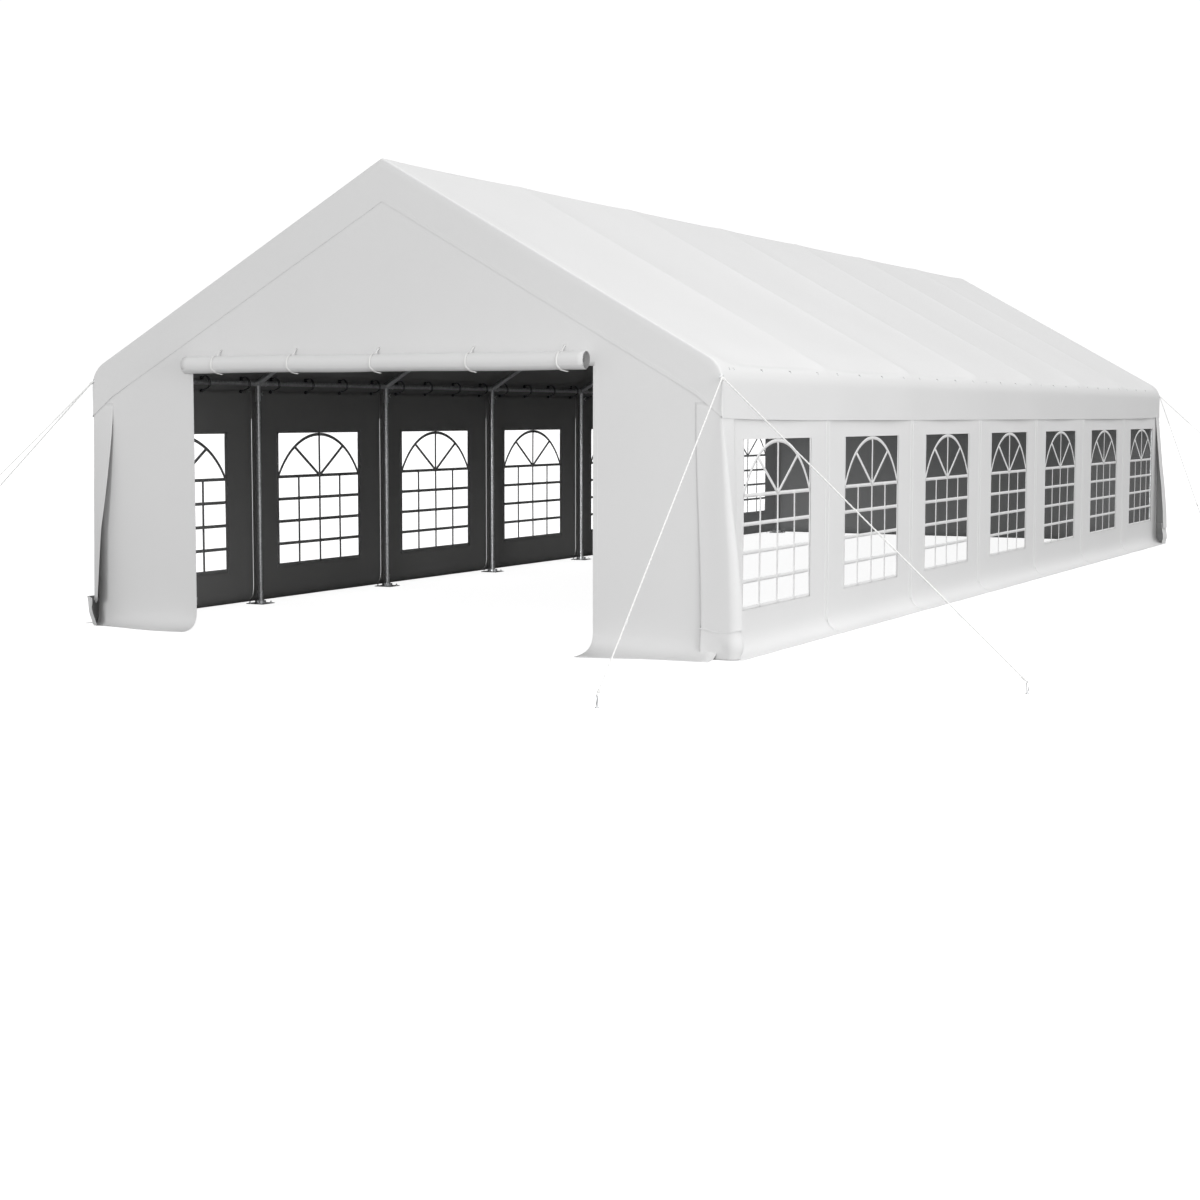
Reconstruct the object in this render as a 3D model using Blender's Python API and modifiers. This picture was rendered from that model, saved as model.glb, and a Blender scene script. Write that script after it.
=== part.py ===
# Long white marquee tent: seven bays of steel portal frames under a fabric roof,
# window walls along both sides, a gable wall at each end and guy ropes at the corners.
# Metres, +Z up. The origin is on the ground in the middle of the plan, and the open
# doorway faces -Y. Every piece of fabric is a stand-in FABRIC thick.

import bpy
import bmesh
from math import atan2, cos, pi, sin, tan, radians
from mathutils import Matrix, Vector

# Driving dimensions
BAYS = 7
BAY = 2.0
LENGTH = BAYS * BAY
WIDTH = 5.093
RIDGE_HEIGHT = 3.335
ROOF_SLOPE = radians(29.4)
EAVE_RADIUS = 0.20
EAVE_STEPS = 6
VALANCE_BOTTOM = 1.541
RAKE_DROP = 0.297
RAKE_CORNER_INSET = 0.19
RAKE_CORNER_RISE = 0.025
FABRIC = 0.004
GAP = 0.0005
CUT_MARGIN = 0.1

# Places that follow from the driving dimensions
ROOF_X = WIDTH / 2
ROOF_Y = LENGTH / 2 + GAP + FABRIC
SIDE_X = ROOF_X - FABRIC - GAP
END_Y = LENGTH / 2

# Steel frame
TUBE_RADIUS = 0.020
SLEEVE_RADIUS = 0.024
TUBE_SIDES = 12
POST_INSET = 0.069
POST_X = SIDE_X - POST_INSET
EAVE_RAIL_Z = 1.835
RIDGE_RAIL_Z = RIDGE_HEIGHT - (FABRIC + GAP + SLEEVE_RADIUS) / cos(ROOF_SLOPE)
END_FRAME_INSET = 0.092
RAIL_END_INSET = 0.015
SLEEVE_REACH = 0.12
SLEEVE_END_REACH = 0.065
SOCKET_LENGTH = 0.15
FOOT_SIZE = 0.17
FOOT_THICKNESS = 0.006
FOOT_SOCKET_HEIGHT = 0.11
RAIL_CLEARANCE = 0.0004

# Side walls
SIDE_WALL_TOP = 1.780
FLAP_START = 0.14
SIDE_FLAP_REACH = 0.15
END_FLAP_REACH = 0.19
WINDOW_WIDTH = 1.284
WINDOW_SILL = 0.288
WINDOW_HEAD = 1.420
FILM_MARGIN = 0.045
FILM_THICKNESS = 0.002

# End walls and doors
DOOR_HALF_WIDTH = 1.62
DOOR_HEIGHT = 1.90
ROLL_RADIUS = 0.062
ROLL_Z = 1.935
ROLL_LEFT = -1.637
ROLL_RIGHT = 1.60

# Corner covers
COVER_NOTCH = 0.21
COVER_NOTCH_HEIGHT = 0.25
COVER_LAP = 0.02
COVER_SIDE_REACH = 0.10
COVER_CORNER_STEPS = 4
COVER_ROUND = 0.020
WALL_RELIEF = COVER_ROUND - GAP
# Shares of a cover's widening: growth of its corner radius, how far its side edge falls
# back towards the wall, and how far that edge moves along the wall
COVER_ROUND_GROWTH = 0.5
COVER_EDGE_TUCK = 0.2
COVER_EDGE_SPREAD = 0.9

# Guy ropes
ROPE_RADIUS = 0.0045
EYELET_RADIUS = 0.011
EYELET_THICKNESS = 0.006
EYELET_Z = 1.785
EYELET_INSET = 0.014
KNOT_THICKNESS = 0.009
PEG_WIRE_RADIUS = 0.004
PEG_STEM_RADIUS = 0.0056
PEG_RING_RADIUS = 0.018
PEG_RING_Z = 0.040
PEG_RING_STEPS = 12
PEG_WIRE_SIDES = 6
ROPE_SIDES = 8
# Pegs are driven by hand, so their places differ a little from corner to corner:
# for each corner the peg of the end rope, then the peg of the side rope.
PEGS = {
    "front_right": ((2.80, -9.34), (4.74, -7.73)),
    "front_left": ((-2.85, -9.30), (-4.20, -7.45)),
    "rear_right": ((2.80, 9.00), (4.20, 8.55)),
    "rear_left": ((-2.80, 9.34), (-4.74, 7.73)),
}

# Finishes: colour, roughness, metallic
FINISHES = {
    "roof_fabric": ((0.86, 0.86, 0.86, 1.0), 0.55, 0.0),
    "wall_fabric": ((0.82, 0.82, 0.82, 1.0), 0.60, 0.0),
    "door_fabric": ((0.84, 0.84, 0.85, 1.0), 0.55, 0.0),
    "clear_film": ((0.90, 0.93, 0.95, 1.0), 0.10, 0.0),
    "galvanised_steel": ((0.62, 0.63, 0.64, 1.0), 0.35, 1.0),
    "rope": ((0.90, 0.90, 0.88, 1.0), 0.80, 0.0),
}

CORNERS = {
    "front_right": (1, -1),
    "front_left": (-1, -1),
    "rear_right": (1, 1),
    "rear_left": (-1, 1),
}


def clear_scene():
    """Remove every object, so that the script starts from nothing."""
    for obj in list(bpy.data.objects):
        bpy.data.objects.remove(obj, do_unlink=True)


def new_collection(name):
    """Make a collection under the scene."""
    group = bpy.data.collections.new(name)
    bpy.context.scene.collection.children.link(group)
    return group


def make_finish(name):
    """Make one Principled material from the table of finishes."""
    colour, roughness, metallic = FINISHES[name]
    mat = bpy.data.materials.new(name)
    mat.use_nodes = True
    shader = mat.node_tree.nodes["Principled BSDF"]
    shader.inputs["Base Color"].default_value = colour
    shader.inputs["Roughness"].default_value = roughness
    shader.inputs["Metallic"].default_value = metallic
    mat.diffuse_color = colour
    return mat


def make_object(name, mesh, group, finish=None):
    """Put a mesh into a collection as an object with one finish."""
    obj = bpy.data.objects.new(name, mesh)
    group.objects.link(obj)
    if finish and not mesh.materials:
        mesh.materials.append(finish)
    return obj


def mesh_from(shape, name):
    """Turn a bmesh into mesh data with outward normals."""
    bmesh.ops.recalc_face_normals(shape, faces=shape.faces)
    mesh = bpy.data.meshes.new(name)
    shape.to_mesh(mesh)
    shape.free()
    return mesh


def guide(obj):
    """Hide a cutter or a joined-in piece from the finished part."""
    obj.hide_render = True
    obj.display_type = "WIRE"
    return obj


def boolean(obj, other, operation):
    """Add a Boolean modifier that joins, cuts or limits obj with other."""
    step = obj.modifiers.new(operation.lower(), "BOOLEAN")
    step.operation = operation
    step.object = other
    step.solver = "EXACT"


def baked(obj, name):
    """Return the mesh that obj's modifiers make."""
    graph = bpy.context.evaluated_depsgraph_get()
    graph.update()
    mesh = bpy.data.meshes.new_from_object(obj.evaluated_get(graph))
    mesh.name = name
    return mesh


def box_object(name, low, high, group):
    """Make a box from its lowest to its highest corner."""
    low = Vector(low)
    high = Vector(high)
    shape = bmesh.new()
    place = Matrix.Translation((low + high) / 2) @ Matrix.Diagonal((*(high - low), 1))
    bmesh.ops.create_cube(shape, size=1, matrix=place)
    return make_object(name, mesh_from(shape, name), group)


def tube_object(name, start, end, radius, group, sides=TUBE_SIDES):
    """Make a round bar between two points."""
    start = Vector(start)
    end = Vector(end)
    turn = (end - start).to_track_quat("Z", "Y").to_matrix().to_4x4()
    place = Matrix.Translation((start + end) / 2) @ turn
    shape = bmesh.new()
    bmesh.ops.create_cone(
        shape, cap_ends=True, segments=sides, radius1=radius, radius2=radius,
        depth=(end - start).length, matrix=place,
    )
    return make_object(name, mesh_from(shape, name), group)


def prism_object(name, outline, back, front, group):
    """Extrude an outline of X and Z points along Y, from back to front."""
    curve = bpy.data.curves.new(name, "CURVE")
    curve.dimensions = "2D"
    curve.fill_mode = "BOTH"
    curve.extrude = (front - back) / 2
    spline = curve.splines.new("POLY")
    spline.points.add(len(outline) - 1)
    for point, (x, z) in zip(spline.points, outline):
        point.co = (x, z, 0, 1)
    spline.use_cyclic_u = True
    flat = make_object(name + "_outline", curve, group)
    mesh = baked(flat, name)
    bpy.data.objects.remove(flat)
    shape = bmesh.new()
    shape.from_mesh(mesh)
    bmesh.ops.remove_doubles(shape, verts=shape.verts, dist=0.00001)
    upright = Matrix.Translation((0, (back + front) / 2, 0)) @ Matrix.Rotation(pi / 2, 4, "X")
    bmesh.ops.transform(shape, matrix=upright, verts=shape.verts)
    return make_object(name, mesh_from(shape, name), group)


def strip_object(name, profile, sweep, group, finish):
    """Sweep an open profile of points by a vector and give it fabric thickness."""
    shape = bmesh.new()
    points = [shape.verts.new(point) for point in profile]
    edges = [shape.edges.new(pair) for pair in zip(points, points[1:])]
    swept = bmesh.ops.extrude_edge_only(shape, edges=edges)
    moved = [item for item in swept["geom"] if isinstance(item, bmesh.types.BMVert)]
    bmesh.ops.translate(shape, vec=sweep, verts=moved)
    obj = make_object(name, mesh_from(shape, name), group, finish)
    thicken(obj, FABRIC)
    return obj


def thicken(obj, thickness):
    """Give an open surface its thickness, half to each side."""
    step = obj.modifiers.new("fabric", "SOLIDIFY")
    step.thickness = thickness
    step.offset = 0
    step.use_even_offset = True


def roof_outline(inset, bottom):
    """Section of the roof in X and Z, moved in by inset, open at the bottom."""
    radius = EAVE_RADIUS - inset
    centre_x = ROOF_X - EAVE_RADIUS
    corner_z = RIDGE_HEIGHT - ROOF_X * tan(ROOF_SLOPE)
    turn = pi / 2 - ROOF_SLOPE
    centre_z = corner_z - EAVE_RADIUS * tan(turn / 2)
    right = [(ROOF_X - inset, bottom)]
    for step in range(EAVE_STEPS + 1):
        angle = turn * step / EAVE_STEPS
        right.append((centre_x + radius * cos(angle), centre_z + radius * sin(angle)))
    ridge = (0, RIDGE_HEIGHT - inset / cos(ROOF_SLOPE))
    return right + [ridge] + [(-x, z) for x, z in reversed(right)]


def rake_opening():
    """Outline of what the roof leaves open below its gable border."""
    side = ROOF_X - FABRIC - 2 * GAP
    inner = ROOF_X - RAKE_CORNER_INSET
    low = VALANCE_BOTTOM - CUT_MARGIN
    corner_z = VALANCE_BOTTOM + RAKE_CORNER_RISE
    ridge_z = RIDGE_HEIGHT - RAKE_DROP
    inner_z = ridge_z - inner * tan(ROOF_SLOPE)
    return [
        (side, low), (side, corner_z), (inner, inner_z), (0, ridge_z),
        (-inner, inner_z), (-side, corner_z), (-side, low),
    ]


def roof_cover(group, cutters, finish):
    """Roof sheet with its rounded eaves, side valances and gable borders."""
    cover = prism_object(
        "roof_cover", roof_outline(0, VALANCE_BOTTOM), -ROOF_Y, ROOF_Y, group)
    cover.data.materials.append(finish)
    inside = prism_object(
        "roof_inside", roof_outline(FABRIC, VALANCE_BOTTOM - CUT_MARGIN),
        FABRIC - ROOF_Y, ROOF_Y - FABRIC, cutters)
    reach = ROOF_Y + CUT_MARGIN
    through = prism_object("roof_gable_opening", rake_opening(), -reach, reach, cutters)
    boolean(cover, guide(inside), "DIFFERENCE")
    boolean(cover, guide(through), "DIFFERENCE")


def flap_profile(reach):
    """Offset outwards and height of the points of a wall's foot, top to bottom."""
    return [
        (0.0, FLAP_START), (reach * 0.07, FLAP_START * 0.50),
        (reach * 0.27, FLAP_START * 0.18), (reach * 0.60, FABRIC / 2 + 0.003),
        (reach, FABRIC / 2),
    ]


def end_profile(sign):
    """Y and Z of the points of an end wall's section, from the door head down."""
    mid_y = END_Y - FABRIC / 2
    foot = [(sign * (mid_y + out), z) for out, z in flap_profile(END_FLAP_REACH)]
    return [(sign * mid_y, DOOR_HEIGHT)] + foot


def bay_start(bay):
    """Y where a bay's wall panel starts."""
    return max(bay * BAY - LENGTH / 2, WALL_RELIEF - END_Y)


def notch_foot(wall, low, high, cutters):
    """Cut the foot of a wall away between two places on plan, where a corner cover takes over."""
    notch = box_object(
        wall.name + "_notch", (min(low[0], high[0]), min(low[1], high[1]), -CUT_MARGIN),
        (max(low[0], high[0]), max(low[1], high[1]), COVER_NOTCH_HEIGHT), cutters)
    boolean(wall, guide(notch), "DIFFERENCE")


def side_wall_panels(group, cutters, finish):
    """Seven fabric panels on each side, each with a window hole and a ground flap."""
    mid_x = SIDE_X - FABRIC / 2
    near_y = END_Y - COVER_NOTCH
    far_y = END_Y + CUT_MARGIN
    near_x = SIDE_X - CUT_MARGIN
    far_x = SIDE_X + SIDE_FLAP_REACH + CUT_MARGIN
    for side, sign in (("left", -1), ("right", 1)):
        profile = [(sign * mid_x, SIDE_WALL_TOP)]
        profile += [(sign * (mid_x + out), z) for out, z in flap_profile(SIDE_FLAP_REACH)]
        for bay in range(BAYS):
            start = bay_start(bay) + GAP / 2
            end = -bay_start(BAYS - 1 - bay) - GAP / 2
            panel = strip_object(
                f"{side}_wall_panel_{bay + 1}", [(x, start, z) for x, z in profile],
                (0, end - start, 0), group, finish)
            middle = (bay + 0.5) * BAY - LENGTH / 2
            hole = box_object(
                f"{side}_window_hole_{bay + 1}",
                (sign * SIDE_X - CUT_MARGIN, middle - WINDOW_WIDTH / 2, WINDOW_SILL),
                (sign * SIDE_X + CUT_MARGIN, middle + WINDOW_WIDTH / 2, WINDOW_HEAD), cutters)
            boolean(panel, guide(hole), "DIFFERENCE")
            if bay == 0:
                notch_foot(panel, (sign * near_x, -near_y), (sign * far_x, -far_y), cutters)
            if bay == BAYS - 1:
                notch_foot(panel, (sign * near_x, near_y), (sign * far_x, far_y), cutters)


def window_films(group, finish):
    """One clear sheet behind the windows of each side."""
    half = LENGTH / 2 - (BAY - WINDOW_WIDTH) / 2 + FILM_MARGIN
    outer = SIDE_X - FABRIC - GAP
    for side, sign in (("left", -1), ("right", 1)):
        low, high = sorted((sign * outer, sign * (outer - FILM_THICKNESS)))
        film = box_object(
            f"{side}_window_film", (low, -half, WINDOW_SILL - FILM_MARGIN),
            (high, half, WINDOW_HEAD + FILM_MARGIN), group)
        film.data.materials.append(finish)


def end_walls(group, cutters, finish):
    """Gable wall at each end, in three pieces round its doorway."""
    reach = END_Y + END_FLAP_REACH + CUT_MARGIN
    limit = roof_outline(FABRIC + GAP, -CUT_MARGIN)
    inside = guide(prism_object("end_wall_limit", limit, -reach, reach, cutters))
    for end, sign in (("front", -1), ("rear", 1)):
        low, high = sorted((sign * END_Y, sign * (END_Y - FABRIC)))
        gable = box_object(
            f"{end}_wall_gable", (-ROOF_X - CUT_MARGIN, low, DOOR_HEIGHT + GAP),
            (ROOF_X + CUT_MARGIN, high, RIDGE_HEIGHT + CUT_MARGIN), group)
        gable.data.materials.append(finish)
        boolean(gable, inside, "INTERSECT")
        for side, side_sign in (("left", -1), ("right", 1)):
            start = side_sign * DOOR_HALF_WIDTH
            sweep = side_sign * (SIDE_X - WALL_RELIEF - DOOR_HALF_WIDTH)
            wall = strip_object(
                f"{end}_wall_{side}", [(start, y, z) for y, z in end_profile(sign)],
                (sweep, 0, 0), group, finish)
            boolean(wall, inside, "INTERSECT")
            near = (side_sign * (ROOF_X - COVER_NOTCH), sign * (END_Y - CUT_MARGIN))
            far = (side_sign * (ROOF_X + CUT_MARGIN), sign * reach)
            notch_foot(wall, near, far, cutters)


def doors(group, finish):
    """Front door rolled up over its doorway, and rear door hanging shut."""
    roll_y = -END_Y - GAP - ROLL_RADIUS
    roll = tube_object(
        "front_door_roll", (ROLL_LEFT, roll_y, ROLL_Z), (ROLL_RIGHT, roll_y, ROLL_Z),
        ROLL_RADIUS, group, sides=24)
    roll.data.materials.append(finish)
    half = DOOR_HALF_WIDTH - GAP
    strip_object(
        "rear_door_curtain", [(-half, y, z) for y, z in end_profile(1)],
        (2 * half, 0, 0), group, finish)


def cover_levels():
    """Height, widening on the end face and widening on the side face of a corner cover."""
    return [
        (VALANCE_BOTTOM - GAP, 0.000, 0.000),
        (1.20, 0.002, 0.014),
        (0.70, 0.008, 0.044),
        (0.24, 0.020, 0.080),
        (0.195, 0.012, 0.058),
        (0.150, 0.020, 0.078),
        (0.060, 0.030, 0.090),
        (0.0, 0.034, 0.084),
    ]


def corner_covers(group, finish):
    """Fabric round each corner post, flaring to its hem, with a boot below it."""
    base_x = SIDE_X + GAP + FABRIC / 2
    base_y = END_Y + GAP + FABRIC / 2
    levels = cover_levels()
    columns = COVER_CORNER_STEPS + 3
    for corner, (sx, sy) in CORNERS.items():
        shape = bmesh.new()
        bmesh.ops.create_grid(shape, x_segments=columns - 1, y_segments=len(levels) - 1, size=1)
        ordered = sorted(shape.verts, key=lambda vert: (round(vert.co.y, 4), round(vert.co.x, 4)))
        for index, vert in enumerate(ordered):
            row, column = divmod(index, columns)
            z, end_out, side_out = levels[row]
            round_off = COVER_ROUND + COVER_ROUND_GROWTH * side_out
            x = base_x + side_out
            y = base_y + end_out
            if column == 0:
                lap = COVER_LAP if z > COVER_NOTCH_HEIGHT else -GAP
                place = (ROOF_X - COVER_NOTCH - lap, base_y)
            elif column == columns - 1:
                along = COVER_SIDE_REACH + COVER_EDGE_SPREAD * side_out
                place = (x - COVER_EDGE_TUCK * side_out, END_Y - along)
            else:
                angle = pi / 2 * (1 - (column - 1) / COVER_CORNER_STEPS)
                place = (
                    x - round_off + round_off * cos(angle),
                    y - round_off + round_off * sin(angle),
                )
            vert.co = (sx * place[0], sy * place[1], z)
        cover = make_object(
            f"corner_cover_{corner}", mesh_from(shape, corner), group, finish)
        thicken(cover, FABRIC)


def frame_shape(name, back_reach, front_reach, cutters):
    """One portal frame: posts, feet, rafters and the sleeves that hold the rails."""
    slope = atan2(RIDGE_RAIL_Z - EAVE_RAIL_Z, POST_X)
    ridge = Vector((0, 0, RIDGE_RAIL_Z))
    base = tube_object(
        name, (0, -front_reach, RIDGE_RAIL_Z), (0, back_reach, RIDGE_RAIL_Z),
        SLEEVE_RADIUS, cutters)
    pieces = []
    for sign in (-1, 1):
        x = sign * POST_X
        node = Vector((x, 0, EAVE_RAIL_Z))
        along = Vector((-sign * cos(slope), 0, sin(slope)))
        half = FOOT_SIZE / 2
        pieces += [
            box_object(name + "_foot", (x - half, -half, 0), (x + half, half, FOOT_THICKNESS),
                       cutters),
            tube_object(name + "_socket", (x, 0, FOOT_THICKNESS / 2), (x, 0, FOOT_SOCKET_HEIGHT),
                        SLEEVE_RADIUS, cutters),
            tube_object(name + "_post", (x, 0, FOOT_THICKNESS / 2), node, TUBE_RADIUS, cutters),
            tube_object(name + "_post_sleeve", (x, 0, EAVE_RAIL_Z - SOCKET_LENGTH), node,
                        SLEEVE_RADIUS, cutters),
            tube_object(name + "_rail_sleeve", (x, -front_reach, EAVE_RAIL_Z),
                        (x, back_reach, EAVE_RAIL_Z), SLEEVE_RADIUS, cutters),
            tube_object(name + "_rafter", node, ridge, TUBE_RADIUS, cutters),
            tube_object(name + "_rafter_sleeve", node, node + along * SOCKET_LENGTH,
                        SLEEVE_RADIUS, cutters),
            tube_object(name + "_ridge_socket", ridge, ridge - along * SOCKET_LENGTH,
                        SLEEVE_RADIUS, cutters),
        ]
    for piece in pieces:
        boolean(base, guide(piece), "UNION")
    for x, z in ((-POST_X, EAVE_RAIL_Z), (POST_X, EAVE_RAIL_Z), (0, RIDGE_RAIL_Z)):
        bore = tube_object(
            name + "_bore", (x, -1, z), (x, 1, z), TUBE_RADIUS + RAIL_CLEARANCE, cutters)
        boolean(base, guide(bore), "DIFFERENCE")
    mesh = baked(base, name)
    bpy.data.objects.remove(base)
    return mesh


def portal_frames(group, cutters, finish):
    """Eight portal frames, one on each bay line."""
    shapes = {
        "front": frame_shape("front_frame_shape", SLEEVE_REACH, SLEEVE_END_REACH, cutters),
        "middle": frame_shape("middle_frame_shape", SLEEVE_REACH, SLEEVE_REACH, cutters),
        "rear": frame_shape("rear_frame_shape", SLEEVE_END_REACH, SLEEVE_REACH, cutters),
    }
    for line in range(BAYS + 1):
        kind = "front" if line == 0 else "rear" if line == BAYS else "middle"
        y = line * BAY - LENGTH / 2
        y = max(min(y, END_Y - END_FRAME_INSET), END_FRAME_INSET - END_Y)
        frame = make_object(f"portal_frame_{line + 1}", shapes[kind], group, finish)
        frame.location = (0, y, 0)


def rails(group, finish):
    """Ridge rail and two eave rails, running through the sleeves of the frames."""
    reach = END_Y - RAIL_END_INSET
    for name, x, z in (
        ("ridge_rail", 0, RIDGE_RAIL_Z),
        ("left_eave_rail", -POST_X, EAVE_RAIL_Z),
        ("right_eave_rail", POST_X, EAVE_RAIL_Z),
    ):
        rail = tube_object(name, (x, -reach, z), (x, reach, z), TUBE_RADIUS, group)
        rail.data.materials.append(finish)


def guy_rope(name, eyelet, normal, peg, group, cutters, finish):
    """Taut rope from an eyelet on the roof to the eye of a peg in the ground."""
    eyelet = Vector(eyelet)
    normal = Vector(normal)
    ring = Vector((peg[0], peg[1], PEG_RING_Z))
    face = eyelet + normal * GAP
    rope = tube_object(
        name, face + normal * EYELET_THICKNESS, ring + Vector((0, 0, PEG_RING_RADIUS)),
        ROPE_RADIUS, group, sides=ROPE_SIDES)
    rope.data.materials.append(finish)
    washer = tube_object(
        name + "_eyelet", face, face + normal * KNOT_THICKNESS, EYELET_RADIUS, cutters)
    boolean(rope, guide(washer), "UNION")
    towards = Vector((eyelet.x - peg[0], eyelet.y - peg[1], 0)).normalized()
    eye = bmesh.new()
    bmesh.ops.create_circle(eye, segments=PEG_WIRE_SIDES, radius=PEG_WIRE_RADIUS)
    bmesh.ops.rotate(eye, verts=eye.verts, matrix=Matrix.Rotation(pi / 2, 3, "X"))
    bmesh.ops.translate(eye, verts=eye.verts, vec=(PEG_RING_RADIUS, 0, 0))
    bmesh.ops.spin(
        eye, geom=eye.verts[:] + eye.edges[:], cent=(0, 0, 0), axis=(0, 0, 1),
        angle=2 * pi, steps=PEG_RING_STEPS, use_merge=True, use_duplicate=False)
    bmesh.ops.remove_doubles(eye, verts=eye.verts, dist=0.00001)
    stand = Matrix.Rotation(atan2(towards.y, towards.x), 4, "Z") @ Matrix.Rotation(pi / 2, 4, "X")
    bmesh.ops.transform(eye, matrix=Matrix.Translation(ring) @ stand, verts=eye.verts)
    loop = make_object(name + "_eye", mesh_from(eye, name), cutters)
    boolean(rope, guide(loop), "UNION")
    stem = tube_object(
        name + "_peg", (peg[0], peg[1], 0), (peg[0], peg[1], PEG_RING_Z - PEG_RING_RADIUS),
        PEG_STEM_RADIUS, cutters, sides=ROPE_SIDES)
    boolean(rope, guide(stem), "UNION")


def guy_ropes(group, cutters, finish):
    """Two taut ropes at each corner of the eaves, each with its peg."""
    for corner, (sx, sy) in CORNERS.items():
        end_peg, side_peg = PEGS[corner]
        guy_rope(
            f"guy_rope_{corner}_end",
            (sx * (ROOF_X - EYELET_INSET), sy * ROOF_Y, EYELET_Z), (0, sy, 0),
            end_peg, group, cutters, finish)
        guy_rope(
            f"guy_rope_{corner}_side",
            (sx * ROOF_X, sy * (ROOF_Y - EYELET_INSET), EYELET_Z), (sx, 0, 0),
            side_peg, group, cutters, finish)


def main():
    clear_scene()
    group = new_collection("marquee_tent")
    cutters = new_collection("cutters")
    finish = {name: make_finish(name) for name in FINISHES}
    roof_cover(group, cutters, finish["roof_fabric"])
    side_wall_panels(group, cutters, finish["wall_fabric"])
    window_films(group, finish["clear_film"])
    end_walls(group, cutters, finish["wall_fabric"])
    doors(group, finish["door_fabric"])
    corner_covers(group, finish["wall_fabric"])
    portal_frames(group, cutters, finish["galvanised_steel"])
    rails(group, finish["galvanised_steel"])
    guy_ropes(group, cutters, finish["rope"])


main()
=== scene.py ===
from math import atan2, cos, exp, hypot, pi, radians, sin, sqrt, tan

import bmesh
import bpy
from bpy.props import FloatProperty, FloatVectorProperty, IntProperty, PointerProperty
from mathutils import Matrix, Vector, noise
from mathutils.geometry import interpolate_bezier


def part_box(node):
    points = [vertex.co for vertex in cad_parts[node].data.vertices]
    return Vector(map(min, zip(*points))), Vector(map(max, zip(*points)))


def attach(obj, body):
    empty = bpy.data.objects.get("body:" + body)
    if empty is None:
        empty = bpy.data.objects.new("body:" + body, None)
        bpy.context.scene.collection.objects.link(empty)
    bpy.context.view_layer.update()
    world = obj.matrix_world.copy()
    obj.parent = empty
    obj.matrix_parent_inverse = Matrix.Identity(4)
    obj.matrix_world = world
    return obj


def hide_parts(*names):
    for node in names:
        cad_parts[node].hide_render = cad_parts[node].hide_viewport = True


bl_info = {
    "name": "Marquee Tent",
    "version": (1, 0, 0),
    "blender": (4, 5, 0),
    "location": "3D View > Sidebar > Marquee",
    "description": "Cloth, windows, doors, steel frame and guy ropes of a long marquee tent",
    "category": "Add Mesh",
}

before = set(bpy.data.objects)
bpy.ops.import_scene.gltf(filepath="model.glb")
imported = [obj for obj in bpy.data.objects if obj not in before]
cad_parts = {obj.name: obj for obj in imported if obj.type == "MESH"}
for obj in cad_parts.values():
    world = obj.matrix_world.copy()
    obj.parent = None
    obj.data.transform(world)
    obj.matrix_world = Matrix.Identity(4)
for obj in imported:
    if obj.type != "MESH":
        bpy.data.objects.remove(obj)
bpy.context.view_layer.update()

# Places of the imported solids, in metres
ROOF_LOW, ROOF_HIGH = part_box("roof_cover")
ROLL_LOW, ROLL_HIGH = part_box("front_door_roll")
RAIL_LOW, RAIL_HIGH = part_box("right_eave_rail")
RIDGE_RAIL_LOW, RIDGE_RAIL_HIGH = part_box("ridge_rail")
PANEL_LOW, PANEL_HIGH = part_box("right_wall_panel_4")

# Plan and section
BAYS = 7
BAY = 2.0
SIDES = (("left", -1), ("right", 1))
ENDS = (("front", -1), ("rear", 1))
CORNERS = (
    ("front_right", 1, -1), ("front_left", -1, -1), ("rear_right", 1, 1), ("rear_left", -1, 1),
)
ROOF_X = ROOF_HIGH.x
ROOF_Y = ROOF_HIGH.y
RIDGE_Z = ROOF_HIGH.z
VALANCE_Z = ROOF_LOW.z
SKIN_GAP = 0.0045
WALL_X = ROOF_X - SKIN_GAP
END_Y = ROOF_Y - SKIN_GAP
WALL_TOP = PANEL_HIGH.z
SLOPE = radians(29.4)
RIDGE_ROUND = 0.006
EAVE_RADIUS = 0.20
EAVE_TURN = pi / 2 - SLOPE
SLOPE_X = ROOF_X - EAVE_RADIUS + EAVE_RADIUS * sin(SLOPE)
SLOPE_RUN = SLOPE_X / cos(SLOPE)
EAVE_Z = RIDGE_Z - SLOPE_X * tan(SLOPE) - EAVE_RADIUS * cos(SLOPE)
EAVE_RUN = EAVE_RADIUS * EAVE_TURN
VALANCE_RUN = EAVE_Z - VALANCE_Z
HALF_SECTION = SLOPE_RUN + EAVE_RUN + VALANCE_RUN
BORDER_FOLD = 0.016
RAKE_DROP = 0.297
RAKE_CORNER_X = ROOF_X - 0.19
BORDER_CORNER_Z = VALANCE_Z + 0.025
DOOR_X = 1.62
DOOR_Z = 1.90
FOOT_TOP = 0.14
FOOT_RUN = 0.24
SIDE_REACH = 0.15
END_REACH = 0.19
WINDOW_WIDTH = 1.284
WINDOW_SILL = 0.288
WINDOW_HEAD = 1.420
RAIL_X = (RAIL_LOW.x + RAIL_HIGH.x) / 2
RAIL_Z = (RAIL_LOW.z + RAIL_HIGH.z) / 2
RIDGE_RAIL_Z = (RIDGE_RAIL_LOW.z + RIDGE_RAIL_HIGH.z) / 2
TUBE_RADIUS = (RAIL_HIGH.x - RAIL_LOW.x) / 2
END_FRAME_Y = END_Y - 0.092
FRAME_LINES = [max(-END_FRAME_Y, min(END_FRAME_Y, (line - BAYS / 2) * BAY)) for line in range(BAYS + 1)]
ROLL_Y = (ROLL_LOW.y + ROLL_HIGH.y) / 2
ROLL_Z = (ROLL_LOW.z + ROLL_HIGH.z) / 2
ROLL_RADIUS = (ROLL_HIGH.z - ROLL_LOW.z) / 2

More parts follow.
